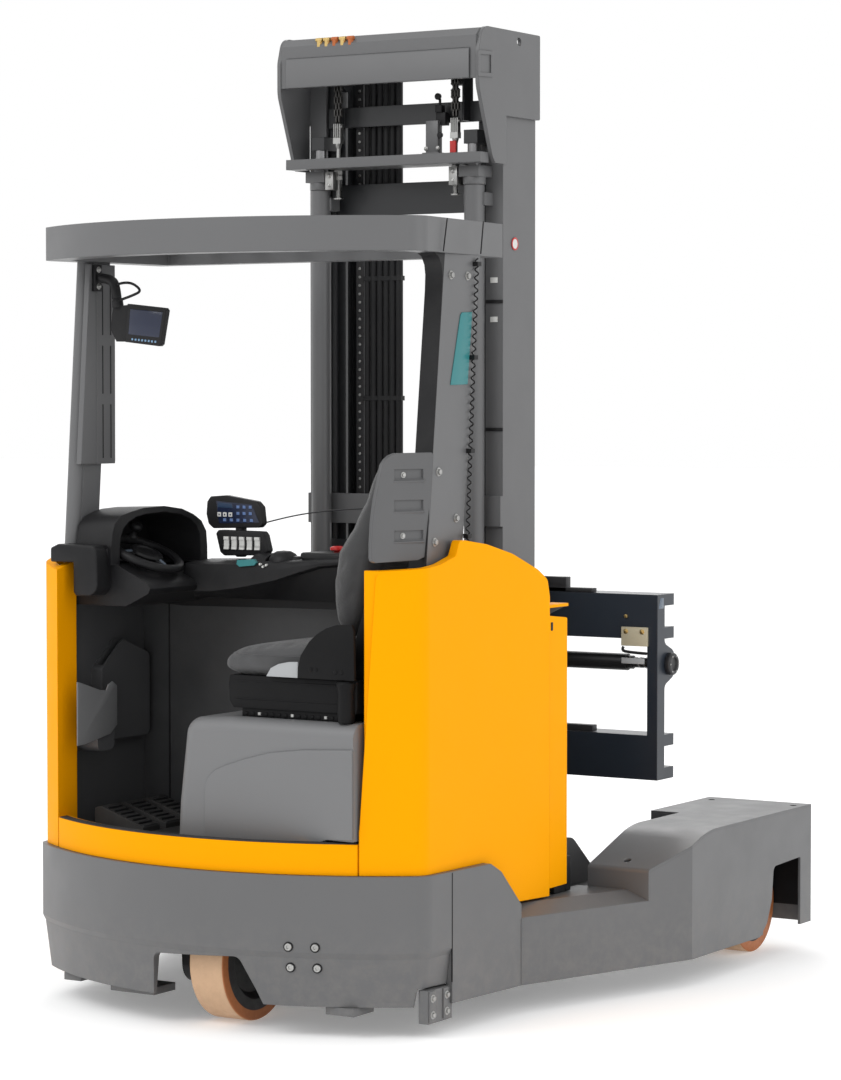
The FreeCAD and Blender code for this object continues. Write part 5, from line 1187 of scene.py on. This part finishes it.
# %% Display and switch panel
cases = bmesh.new()
face_x = 0.3662
switch_x = 0.3465
cross_plate(cases, face_x, (
    (0.3265, 1.372), (0.3235, 1.408), (0.3120, 1.4235), (0.2560, 1.4275), (0.1500, 1.4120),
    (0.1330, 1.3960), (0.1270, 1.3480), (0.1390, 1.3360), (0.3020, 1.3310), (0.3190, 1.3440)),
    0.0245)
cross_plate(cases, switch_x, (
    (0.2790, 1.3180), (0.2700, 1.3280), (0.1170, 1.3265), (0.1080, 1.3160), (0.0960, 1.2720),
    (0.1070, 1.2580), (0.2500, 1.2540), (0.2640, 1.2640)), 0.0290)
pin(cases, spot(0.384, 0.215, 1.2500), spot(0.384, 0.215, 1.3450), 0.016, 20)
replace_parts(settle("display_case", cases, black_plastic, bevel=0.004, segments=3, sharp=34),
            "display")
screen = bmesh.new()


def key(far, left, up, half_wide, half_high, index):
    """Adds one flat key on the screen, `far` in front of the case."""
    cross_plate(screen, face_x - far, (
        (left + half_wide, up + half_high), (left - half_wide, up + half_high),
        (left - half_wide, up - half_high), (left + half_wide, up - half_high)), 0.002, index)


cross_plate(screen, face_x - 0.0006, (
    (0.2900, 1.4110), (0.1650, 1.4020), (0.1390, 1.3500), (0.2800, 1.3460)), 0.001)
cross_plate(screen, face_x - 0.0012, (
    (0.2840, 1.4070), (0.2340, 1.4035), (0.2320, 1.3905), (0.2840, 1.3925)), 0.001, 3)
for left in (0.2785, 0.2590, 0.2395):
    key(0.0020, left, 1.3720, 0.0062, 0.0062, 1)
    key(0.0026, left, 1.3720, 0.0022, 0.0026, 0)
for up, first, gap, count in ((1.3945, 0.2130, 0.0215, 3), (1.3760, 0.2130, 0.0215, 3),
                              (1.3565, 0.2600, 0.0235, 5)):
    for step in range(count):
        key(0.0016, first - step * gap, up, 0.0050, 0.0042, 2)
settle("display_screen", screen, [tints["screen_glass"], tints["white_marking"],
                                  tints["key_blue"], tints["screen_lit"]], sharp=20)
rockers = bmesh.new()
for step in range(5):
    left = 0.2390 - step * 0.0268
    for part, dip, rise in ((0, 0.0, 0.0022), (1, 0.0022, 0.0028), (2, 0.0022, 0.0022),
                            (3, 0.0, 0.0)):
        up = 1.2775 + part * 0.0092
        sheet_of(rockers, [spot(switch_x - 0.0052 + (dip if z < 0 else rise), left + y, up + z)
                           for y, z in ((0.0088, -0.0046), (-0.0088, -0.0046),
                                        (-0.0088, 0.0046), (0.0088, 0.0046))],
                 (0.006, 0, 0))
settle("rocker_switches", rockers, tints["white_marking"], sharp=40)
print("display and switches made")

# %% [markdown]
# The console runs along the cab's front wall and carries the controls at the driver's right hand.
# Its lower edge rises in a long curve. It is lofted: the same eight-cornered section is drawn at
# nine places with its own lower and upper height, and `skin` joins each section to the next.
# On it stand the lever with its thumb keys, a round knob and the red emergency button.

# %% Console
console = bmesh.new()
sections = []
for left, low_z, high_z in (
        (0.333, 1.149, 1.236), (0.230, 1.154, 1.239), (0.160, 1.163, 1.241), (0.110, 1.172, 1.243),
        (0.020, 1.190, 1.247), (-0.066, 1.216, 1.253), (-0.132, 1.234, 1.258),
        (-0.200, 1.240, 1.261), (-0.258, 1.240, 1.262)):
    sections.append([console.verts.new(spot(x, left, z)) for x, z in (
        (0.403, 1.131), (0.330, 1.134), (0.282, low_z - 0.003), (0.266, low_z + 0.003),
        (0.262, (low_z + high_z) / 2), (0.268, high_z - 0.006), (0.280, high_z),
        (0.403, high_z + 0.006))])
for first, second in zip(sections, sections[1:]):
    skin(console, first, second)
console.faces.new(sections[0])
console.faces.new(sections[-1])
pad = bmesh.ops.create_cube(console, size=1, matrix=Matrix.Translation(spot(0.335, -0.150, 1.263))
                            @ Matrix.Diagonal((0.105, 0.190, 0.022, 1)))["verts"]
bmesh.ops.bevel(console, geom=list({edge for vert in pad for edge in vert.link_edges}),
                offset=0.008, offset_type="OFFSET", affect="EDGES", segments=3, profile=0.5,
                material=-1, clamp_overlap=True)
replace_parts(settle("console_body", console, black_plastic, sharp=34), "control_console")
pilot = bmesh.new()
side_plate(pilot, 0.118, (
    (0.282, 1.236), (0.292, 1.252), (0.312, 1.262), (0.352, 1.266), (0.380, 1.258),
    (0.388, 1.240)), -0.052)
lathe(pilot, spot(0.318, 0.022, 1.240), (0, 0, 1), [
    (0.0, 0.0), (0.044, 0.0), (0.042, 0.014), (0.034, 0.026), (0.020, 0.034), (0.0, 0.036)], 32)
lathe(pilot, spot(0.318, -0.026, 1.242), (0, 0, 1), [
    (0.0, 0.0), (0.022, 0.0), (0.022, 0.010), (0.016, 0.018), (0.0, 0.020)], 28)
cross_plate(pilot, 0.2605, (
    (0.1440, 1.2480), (0.0860, 1.2520), (0.0780, 1.2420), (0.0860, 1.2340), (0.1360, 1.2290),
    (0.1460, 1.2360)), 0.010, 1)
for left, up in ((0.066, 1.238), (0.056, 1.231), (0.045, 1.236)):
    pin(pilot, spot(0.2600, left, up), spot(0.2680, left, up), 0.0034, 12, index=2)
settle("pilot_lever", pilot, [black_plastic, tints["teal_plastic"], tints["white_marking"]],
       sharp=36)
stop = bmesh.new()
lathe(stop, spot(0.345, -0.140, 1.262), (0, 0, 1), [
    (0.0, 0.0), (0.014, 0.0), (0.014, 0.008), (0.009, 0.010), (0.009, 0.014), (0.0195, 0.018),
    (0.0195, 0.026), (0.012, 0.029), (0.0, 0.0295)], 28)
settle("emergency_button", stop, tints["red_plastic"], sharp=36)
stay = bmesh.new()
tube(stay, smooth_line([spot(0.404, 0.181, 1.3400), spot(0.404, 0.080, 1.3660),
                        spot(0.404, -0.060, 1.3880), spot(0.404, -0.209, 1.3970),
                        spot(0.380, -0.420, 1.4080), spot(0.300, -0.5495, 1.4150)]), 0.0020, 8)
pin(stay, spot(0.300, -0.5440, 1.4150), spot(0.300, -0.5500, 1.4150), 0.0070, 14)
settle("display_stay", stay, black_steel, sharp=40)
print("console and controls made")

# %% [markdown]
# A strip of black plastic covers the front wall's upper part, and along the lining's edge runs a
# seam. A grey pocket for papers hangs on the left, and the pedals have raised ribs for the boot.

# %% Wall trim, document pocket and pedal ribs
trim = bmesh.new()
cross_plate(trim, 0.4005, (
    (0.606, 1.1120), (0.606, 1.1895), (-0.606, 1.1895), (-0.606, 1.1100), (-0.066, 1.1075),
    (0.209, 1.1040), (0.438, 1.1010)), 0.0045)
cross_plate(trim, 0.4020, (
    (0.4840, 0.485), (0.4880, 0.485), (0.4880, 1.105), (0.4840, 1.105)), 0.003)
settle("wall_trim", trim, black_plastic, sharp=30)
pocket = bmesh.new()
side_plate(pocket, 0.4780, (
    (-0.046, 0.9080), (-0.022, 0.9020), (0.060, 0.8770), (0.088, 0.8740), (0.098, 0.8900),
    (0.118, 0.8980), (0.139, 0.8840), (0.139, 0.7720), (0.108, 0.7480), (-0.013, 0.7280),
    (-0.046, 0.7270)), 0.0045)
settle("document_pocket", pocket, tints["pocket_grey"], bevel=0.0015, sharp=30)
pedal_slope = 0.3467
ribs = bmesh.new()
for ahead in (0.060, 0.170, 0.280):
    for step in range(6):
        left = 0.350 + step * 0.021
        up = 0.4945 + (left - 0.330) * pedal_slope
        block(ribs, spot(ahead + 0.008, left, up - 0.004),
              spot(ahead + 0.072, left + 0.007, up + 0.0050))
    block(ribs, spot(ahead + 0.004, 0.3320, 0.4800), spot(ahead + 0.076, 0.3345, 0.5000), 1)
settle("pedal_ribs", ribs, [black_plastic, dark_lining], bevel=0.001, sharp=30)
print("trim, pocket and pedal ribs made")

# %% [markdown]
# The cushion and the backrest are foam in a sewn cover. Their rough form is lofted from rounded
# sections: wide and level where the driver sits, drawn in at the nose and over the shoulders. A
# cloth simulation with a little air pressure then fills the cover, which swells the faces and
# draws the corners in as real upholstery does. A cap on the movement keeps the size, and the
# seams and piping come afterwards, because the remesh before the simulation would erase them.

# %% Cushion tools
def rounded_ring(shape, centre, across, up, half_across, half_up, power, sides=36):
    """Adds a ring of points on a rounded rectangle."""
    ring = []
    for i in range(sides):
        angle = math.tau * i / sides
        c, s = math.cos(angle), math.sin(angle)
        far = (abs(c) ** power + abs(s) ** power) ** (-1 / power)
        ring.append(shape.verts.new(centre + across * (c * far * half_across)
                                    + up * (s * far * half_up)))
    return ring


def lofted(name, rings_of):
    """Makes a closed body through rings and returns it as an object."""
    shape = bmesh.new()
    rings = [rounded_ring(shape, *ring) for ring in rings_of]
    for first, second in zip(rings, rings[1:]):
        skin(shape, first, second)
    shape.faces.new(rings[0])
    shape.faces.new(rings[-1])
    bmesh.ops.recalc_face_normals(shape, faces=shape.faces)
    mesh = bpy.data.meshes.new(name)
    shape.to_mesh(mesh)
    shape.free()
    piece = bpy.data.objects.new(name, mesh)
    bpy.context.scene.collection.objects.link(piece)
    return piece


def applied(piece):
    """Turns the shape that the modifiers give into the piece's own mesh."""
    view = bpy.context.evaluated_depsgraph_get()
    mesh = bpy.data.meshes.new_from_object(piece.evaluated_get(view))
    piece.modifiers.clear()
    piece.data = mesh


def stuffed(piece, voxel=0.0055, cap=0.006, pressure=4.0, steps=20):
    """Remeshes a body, inflates it as cloth and caps how far each point moves."""
    remesh = piece.modifiers.new("even", "REMESH")
    remesh.mode = "VOXEL"
    remesh.voxel_size = voxel
    applied(piece)
    start = [vert.co.copy() for vert in piece.data.vertices]
    cloth_sim = piece.modifiers.new("cover", "CLOTH")
    settings = cloth_sim.settings
    settings.quality = 5
    settings.mass = 0.3
    settings.tension_stiffness = 12
    settings.compression_stiffness = 12
    settings.shear_stiffness = 5
    settings.bending_stiffness = 0.6
    settings.use_pressure = True
    settings.uniform_pressure_force = pressure
    settings.effector_weights.gravity = 0
    cloth_sim.point_cache.frame_start = 1
    cloth_sim.point_cache.frame_end = steps
    for frame_number in range(1, steps + 1):
        bpy.context.scene.frame_set(frame_number)
    applied(piece)
    bpy.context.scene.frame_set(1)
    for vert, old in zip(piece.data.vertices, start):
        step = vert.co - old
        if step.length > cap:
            vert.co = old + step.normalized() * cap
    shape = bmesh.new()
    shape.from_mesh(piece.data)
    for _ in range(3):
        bmesh.ops.smooth_vert(shape, verts=shape.verts, factor=0.5, use_axis_x=True,
                              use_axis_y=True, use_axis_z=True)
    bmesh.ops.subdivide_edges(shape, edges=shape.edges, cuts=1, smooth=0.0,
                              use_grid_fill=True)
    shape.to_mesh(piece.data)
    shape.free()
    piece.data.shade_smooth()


def upholstered(name, rings_of, cover):
    """Lofts a body, fills it out and dresses it in a cover."""
    piece = lofted(name, rings_of)
    stuffed(piece)
    piece.data.materials.append(cover)
    return piece


print("cushion tools ready")

# %% Cushion
ahead_way, left_way, up_way = Vector((1, 0, 0)), Vector((0, 1, 0)), Vector((0, 0, 1))
seat_middle = 0.140
cushion = upholstered("cushion", [
    (spot(seat_middle, left, (low + high) / 2), ahead_way, up_way, half, (high - low) / 2, power)
    for left, low, high, half, power in (
        (-0.0265, 0.966, 1.000, 0.176, 3.0), (-0.030, 0.961, 1.008, 0.190, 3.4),
        (-0.044, 0.9575, 1.017, 0.199, 4.0), (-0.084, 0.9565, 1.027, 0.205, 5.0),
        (-0.140, 0.9560, 1.036, 0.207, 5.5), (-0.220, 0.9560, 1.043, 0.207, 5.5),
        (-0.320, 0.9560, 1.046, 0.207, 5.5), (-0.385, 0.9560, 1.046, 0.206, 5.0),
        (-0.412, 0.9570, 1.040, 0.202, 4.0), (-0.421, 0.962, 1.030, 0.194, 3.0))], seat_cloth)
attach(cushion, "chassis")
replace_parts(cushion, "seat_cushion")
print("cushion stuffed", len(cushion.data.vertices), "points")

# %% Backrest
backrest = upholstered("backrest", [
    (spot(seat_middle, (front + back) / 2, up), ahead_way, left_way, half, (front - back) / 2,
     power)
    for up, front, back, half, power in (
        (1.063, -0.374, -0.426, 0.122, 2.8), (1.075, -0.364, -0.434, 0.142, 3.2),
        (1.110, -0.355, -0.446, 0.156, 4.0), (1.160, -0.351, -0.462, 0.162, 4.6),
        (1.220, -0.350, -0.477, 0.163, 4.8), (1.290, -0.358, -0.490, 0.157, 4.4),
        (1.360, -0.385, -0.496, 0.128, 3.2), (1.430, -0.410, -0.497, 0.100, 2.8),
        (1.500, -0.430, -0.495, 0.080, 2.6), (1.535, -0.440, -0.490, 0.064, 2.4),
        (1.549, -0.450, -0.484, 0.048, 2.2))], shaded_back_cloth)
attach(backrest, "chassis")
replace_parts(backrest, "seat_backrest")
print("backrest stuffed", len(backrest.data.vertices), "points")

# %% [markdown]
# Round the cushion runs a piping seam: a thin tube that follows the cover. Its line is found on
# the finished cushion itself. From points outside, rays are cast inwards at the seam's height,
# and where they meet the cover, the tube's points lie.

# %% Seams
def seam_round(piece, centre, half_x, half_y, rise, count=72):
    """Points round a piece at the centre's height, found by casting rays inwards."""
    points = []
    for i in range(count):
        angle = math.tau * i / count
        way = Vector((math.cos(angle) * half_x, math.sin(angle) * half_y, 0))
        start = centre + way * 2.2
        hit, place, normal, _ = piece.ray_cast(start, -way.normalized())
        if hit:
            points.append(place + normal * rise)
    return points


bpy.context.view_layer.update()
piping = bmesh.new()
ring = seam_round(cushion, spot(seat_middle, -0.225, 1.012), 0.21, 0.20, 0.0004)
tube(piping, ring + ring[:1], 0.0016, 6)
settle("cushion_piping", piping, seat_cloth, sharp=50)
print("piping laid", len(ring), "points")

# %% [markdown]
# At the cushion's rear corners stand the hinge covers of the backrest, flat mouldings with a
# round shoulder, and in front of them a light insert for the armrest's latch. Below is the
# suspension in its box: a closed black case with drawn-in ends on a toothed rail, and a round
# lever housing at the back corner.

# %% Hinge covers and suspension
covers = bmesh.new()
for face, out in ((-0.0730, -0.012), (0.3530, 0.012)):
    cross_plate(covers, face, (
        (-0.293, 0.957), (-0.294, 0.985), (-0.303, 1.018), (-0.330, 1.056), (-0.356, 1.078),
        (-0.386, 1.095), (-0.420, 1.105), (-0.466, 1.106), (-0.472, 1.090), (-0.474, 0.957)), out)
    for left, up in ((-0.335, 0.982), (-0.352, 0.982), (-0.415, 0.978), (-0.434, 0.978)):
        pin(covers, spot(face + out, left, up), spot(face + out * 1.12, left, up), 0.006, 12)
    cross_plate(covers, face + out * 0.1, (
        (-0.188, 0.957), (-0.203, 0.980), (-0.228, 0.992), (-0.262, 0.999), (-0.291, 1.000),
        (-0.2925, 0.957)), out * 0.5, index=1)
settle("hinge_covers", covers, [seat_black, tints["light_grey_plastic"]], bevel=0.0018,
       sharp=32)
under = bmesh.new()
cross_plate(under, -0.064, (
    (-0.058, 0.9545), (-0.054, 0.930), (-0.056, 0.885), (-0.070, 0.8660), (-0.466, 0.8660),
    (-0.470, 0.885), (-0.470, 0.9545)), 0.408)
for up in (0.9380, 0.8900):
    sheet_of(under, [spot(-0.0652, y, up + dz) for y, dz in (
        (-0.075, 0.0), (-0.410, 0.0), (-0.410, 0.004), (-0.075, 0.004))], (0.002, 0, 0))
for ahead in (-0.0560, 0.3220):
    block(under, spot(ahead, -0.4440, 0.8425), spot(ahead + 0.014, -0.0930, 0.8660))
    for step in range(15):
        left = -0.112 - step * 0.0215
        block(under, spot(ahead - 0.0030, left, 0.8470),
              spot(ahead + 0.016, left + 0.0090, 0.8560), index=1 if step % 5 == 2 else 0)
block(under, spot(-0.040, -0.4300, 0.8425), spot(0.320, -0.0900, 0.8640))
lathe(under, spot(-0.070, -0.440, 0.8425), (0, 0, 1), [
    (0.0, 0.0), (0.022, 0.0), (0.024, 0.020), (0.024, 0.085), (0.027, 0.095), (0.027, 0.106),
    (0.022, 0.1115), (0.0, 0.1115)], 28)
cross_plate(under, -0.0100, (
    (-0.430, 0.9545), (-0.430, 1.060), (-0.486, 1.240), (-0.515, 1.240), (-0.480, 1.060),
    (-0.470, 0.9545)), 0.300)
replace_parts(settle("suspension_case", under, [seat_black, zinc_steel], bevel=0.003, sharp=32),
            "seat_suspension")
base = bmesh.new()
cross_plate(base, -0.1050, (
    (-0.004, 0.4890), (-0.004, 0.6300), (-0.008, 0.6560), (-0.018, 0.6780), (-0.036, 0.6950),
    (-0.071, 0.7110), (-0.140, 0.7330), (-0.219, 0.7540), (-0.330, 0.7680), (-0.4835, 0.7760),
    (-0.4835, 0.5350), (-0.4000, 0.5300), (-0.3000, 0.4890)), -0.0055)
settle("seat_base_panel", base, seat_box_plastic, bevel=0.0045, segments=4, sharp=50)
print("covers, suspension and base panel made")

# %% [markdown]
# Behind the backrest the right pillar carries a shield with three louvres. The plate is an
# outline with three holes, filled and extruded in one go, on a thinner back plate. A ledge along
# each hole's lower edge makes the louvre's lip, and two screws and two pegs hold the plate.

# %% Side shield
shield_back = -0.098
shield_turn = 0.36
shield = bmesh.new()


def on_shield(ahead, up, out=0.0):
    """A point on the shield, which turns away from the pillar towards the back."""
    return spot(ahead, -0.530 - shield_turn * (ahead - shield_back) - out, up)


edge_line = [(shield_back, 1.286), (-0.095, 1.278), (-0.086, 1.273), (0.048, 1.276),
             (0.076, 1.286), (0.083, 1.329), (0.094, 1.480), (0.098, 1.558), (0.092, 1.563),
             (-0.022, 1.562), (-0.040, 1.556), (-0.054, 1.545), (-0.064, 1.531),
             (-0.073, 1.492), (-0.086, 1.439), (-0.094, 1.385), (shield_back, 1.321)]
louvres = ((1.488, 1.519), (1.406, 1.437), (1.326, 1.356))
loops = [edge_line]
for low_z, high_z in louvres:
    loops.append([(-0.026, low_z), (0.066, low_z), (0.066, high_z), (-0.026, high_z)])
pierced_plate(shield, [[on_shield(x, z, 0.002) for x, z in loop] for loop in loops],
              (0, -0.006, 0))
sheet_of(shield, [on_shield(x, z, 0.0018) for x, z in edge_line], (0, 0.004, 0))
for low_z, high_z in louvres:
    lip = [(0.0018, 0.0080), (0.0080, 0.0020), (0.0120, 0.0014), (0.0124, -0.0020),
           (0.0082, -0.0050), (0.0018, -0.0050)]
    near = [shield.verts.new(on_shield(-0.028, low_z + z, out * 0.7)) for out, z in lip]
    far = [shield.verts.new(on_shield(0.068, low_z + z, out)) for out, z in lip]
    skin(shield, near, far)
    shield.faces.new(near)
    shield.faces.new(far)
for ahead, up in ((0.008, 1.504), (0.006, 1.342)):
    bolt(shield, on_shield(ahead, up, 0.002), (-0.34, -0.94, 0), 0.0055, index=1)
for up in (1.330, 1.520):
    pin(shield, on_shield(0.080, up, -0.001), spot(0.115, -0.5700, up), 0.008, 16)
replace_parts(settle("louvred_shield", shield, [shield_plastic, zinc_steel], sharp=34),
            "side_shield")
print("shield made with 3 louvres")

# %% [markdown]
# The overhead guard is welded from sheet, and the right pillar is bolted to it. The joints show as
# fine dark lines, the bolts sit on round washers, and the pillar's back edge is lined in black. A
# coloured plate without lettering hangs on the outside, and a coiled cable comes down beside it,
# held in clips. The coil is a helix, drawn as a tube with five sides.

# %% Guard joints, bolts, plate and lining
guard_side, pillar_side = -0.6293, -0.6040
joint_width = 0.0022
guard = bmesh.new()
for top_x, foot_x in ((0.137, 0.117), (0.327, 0.313)):
    side_plate(guard, guard_side, (
        (top_x, 2.188), (top_x + joint_width, 2.188), (foot_x + joint_width, 2.099),
        (foot_x, 2.099)), 0.003)


def pillar_back(up):
    """How far ahead the right pillar's back edge stands; above 1.24 m it leans forward."""
    return 0.068 + 0.097 * max(0.0, up - 1.240) / 0.857


sheet_of(guard, [spot(pillar_back(z) - x, -0.5498, z) for x, z in (
    (0.0, 1.250), (0.0, 2.096), (0.052, 2.096), (0.030, 2.086), (0.014, 2.066), (0.006, 2.040),
    (0.0035, 2.000), (0.0035, 1.250))], (0, -0.0538, 0))
settle("guard_lining", guard, black_plastic, sharp=30)
bolts = bmesh.new()
for ahead, up in ((0.196, 2.039), (0.283, 2.039), (0.132, 1.510), (0.223, 1.383), (0.112, 1.322)):
    bolt(bolts, spot(ahead, pillar_side, up), (0, -1, 0), 0.0080)
settle("pillar_bolts", bolts, zinc_steel, sharp=30)
plate = bmesh.new()
side_plate(plate, -0.6041, (
    (0.252, 1.9400), (0.3060, 1.9420), (0.2820, 1.7450), (0.1920, 1.7430), (0.1960, 1.7600),
    (0.2440, 1.9320)), -0.002)
settle("pillar_plate", plate, tints["teal_plastic"], bevel=0.0006, sharp=30)
coil = bmesh.new()
coil_points, points_per_turn = 340, 10


def cable_line(part):
    """Where the coiled cable hangs, at a part of its length from the top."""
    return 0.322 - 0.052 * part, 2.088 - 0.770 * part


path = []
for i in range(coil_points):
    ahead, up = cable_line(i / (coil_points - 1))
    angle = i * math.tau / points_per_turn
    path.append(spot(ahead + math.cos(angle) * 0.0055, -0.612 + math.sin(angle) * 0.0048, up))
tube(coil, path, 0.0022, 5)
for part in (0.02, 0.35, 0.68, 0.98):
    ahead, up = cable_line(part)
    block(coil, spot(ahead - 0.010, -0.6200, up - 0.006), spot(ahead + 0.010, -0.6041, up + 0.006))
settle("guard_cable", coil, black_plastic, sharp=40)
print("guard joints, bolts, plate and cable made")

# %% [markdown]
# On the left stand a slim round post, which narrows upwards and leans forward, and a flat post
# beside it. A flat profile with grooves is fixed to them for things the driver clamps on. One
# tapered cone makes the round post, and an outline pushed sideways makes the flat one.

# %% Left posts and profile
post_foot, post_top = 1.2356, 2.0968
posts = bmesh.new()
pin(posts, spot(0.068, 0.584, post_foot), spot(0.132, 0.584, post_top), 0.0235, 32, tip=0.0205)
side_plate(posts, 0.560, (
    (0.074, post_foot), (0.153, post_foot), (0.222, post_top), (0.138, post_top)), 0.047)
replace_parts(settle("left_guard_posts", posts, guard_paint, sharp=34), "left_pillars")
profile = bmesh.new()
side_plate(profile, 0.5420, (
    (0.058, 1.519), (0.219, 1.519), (0.221, 2.0895), (0.104, 2.0895)), 0.0175)
for start, end in ((1.535, 1.690), (1.720, 1.858), (1.888, 2.030)):
    for ahead in (0.1610, 0.1985):
        block(profile, spot(ahead - 0.0022, 0.5405, start), spot(ahead + 0.0022, 0.5422, end), 1)
block(profile, spot(0.1300, 0.5395, 1.5195), spot(0.1330, 0.5422, 2.0890))
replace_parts(settle("accessory_profile", profile, [guard_paint, black_plastic], bevel=0.0025,
                   segments=3, sharp=34), "accessory_rail")
print("left posts and profile made")

# %% [markdown]
# The monitor hangs on a ball arm. Its case is deeper on one side, the screen is black glass in a
# narrow frame, and under it is a row of eight small keys.

# %% Camera monitor
monitor = bmesh.new()
cross_plate(monitor, 0.104, (
    (0.4100, 1.9745), (0.2820, 1.9610), (0.2760, 1.9540), (0.2950, 1.8590), (0.3020, 1.8535),
    (0.4180, 1.8665)), 0.020)
cross_plate(monitor, 0.108, (
    (0.4090, 1.9720), (0.4200, 1.8675), (0.4530, 1.8680), (0.4740, 1.9030), (0.4640, 1.9670)),
    0.0195)
cross_plate(monitor, 0.1032, (
    (0.4000, 1.9600), (0.2870, 1.9490), (0.3000, 1.8780), (0.4070, 1.8880)), 0.0015, 1)
for step in range(8):
    left = 0.3930 - step * 0.0115
    up = 1.8740 - step * 0.0011
    block(monitor, spot(0.1025, left - 0.0030, up - 0.0030),
          spot(0.1045, left + 0.0030, up + 0.0030), 2)
lathe(monitor, spot(0.114, 0.4500, 1.9640), (0, 0.15, 1), [
    (0.0, 0.0), (0.016, 0.0), (0.016, 0.020), (0.010, 0.030), (0.0, 0.030)], 24)
tube(monitor, smooth_line([spot(0.114, 0.4550, 1.990), spot(0.116, 0.4600, 2.020),
                           spot(0.120, 0.4750, 2.045), spot(0.126, 0.5200, 2.050)]), 0.0140, 14)
block(monitor, spot(0.1120, 0.5300, 2.0120), spot(0.1430, 0.5420, 2.0880))
for up in (2.026, 2.074):
    bolt(monitor, spot(0.1275, 0.5300, up), (0, -1, 0), 0.0060, index=3)
tube(monitor, smooth_line([spot(0.112, 0.4520, 2.0300), spot(0.106, 0.4080, 2.0400),
                           spot(0.104, 0.3580, 2.0120), spot(0.106, 0.3900, 1.9980),
                           spot(0.110, 0.4430, 1.9850)]), 0.0040, 8)
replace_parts(settle("camera_monitor", monitor, [black_plastic, tints["screen_glass"],
                                               tints["light_blue_plastic"], zinc_steel],
                   bevel=0.0016, sharp=34), "monitor")
print("monitor made")

# %% [markdown]
# A round sign without writing is fixed to the mast's side: a white disc in a red ring. The head
# frame's plate has a raised rectangular rim round a pocket, and the beam's back face is a separate
# plate with a sharp upper edge.

# %% Sign and head frame details
signs = bmesh.new()
sign_place = spot(1.0, -0.3385, 2.161)
disc(signs, sign_place, (0, -1, 0), 0.0150, 0.0016, 40)
lathe(signs, sign_place, (0, -1, 0), [
    (0.0145, 0.0), (0.0190, 0.0), (0.0190, 0.0020), (0.0145, 0.0020), (0.0145, 0.0)], 40,
    index=1)
settle("blank_signs", signs, [tints["white_marking"], tints["red_plastic"]], "mast_body",
       sharp=30)
head = bmesh.new()
rim_line = [(0.763, 2.707), (0.848, 2.711), (0.848, 2.636), (0.763, 2.632)]
hole_line = [(0.775, 2.696), (0.836, 2.699), (0.836, 2.647), (0.775, 2.644)]
pierced_plate(head, [[spot(x, -0.3500, z) for x, z in loop] for loop in (rim_line, hole_line)],
              (0, -0.004, 0))
side_plate(head, -0.3180, (
    (0.7735, 2.6300), (0.7695, 2.6300), (0.7695, 2.7100), (0.7735, 2.7180)), 0.6360)
settle("head_frame_details", head, grey_paint, "mast_body", sharp=30)
print("sign and head frame details made")
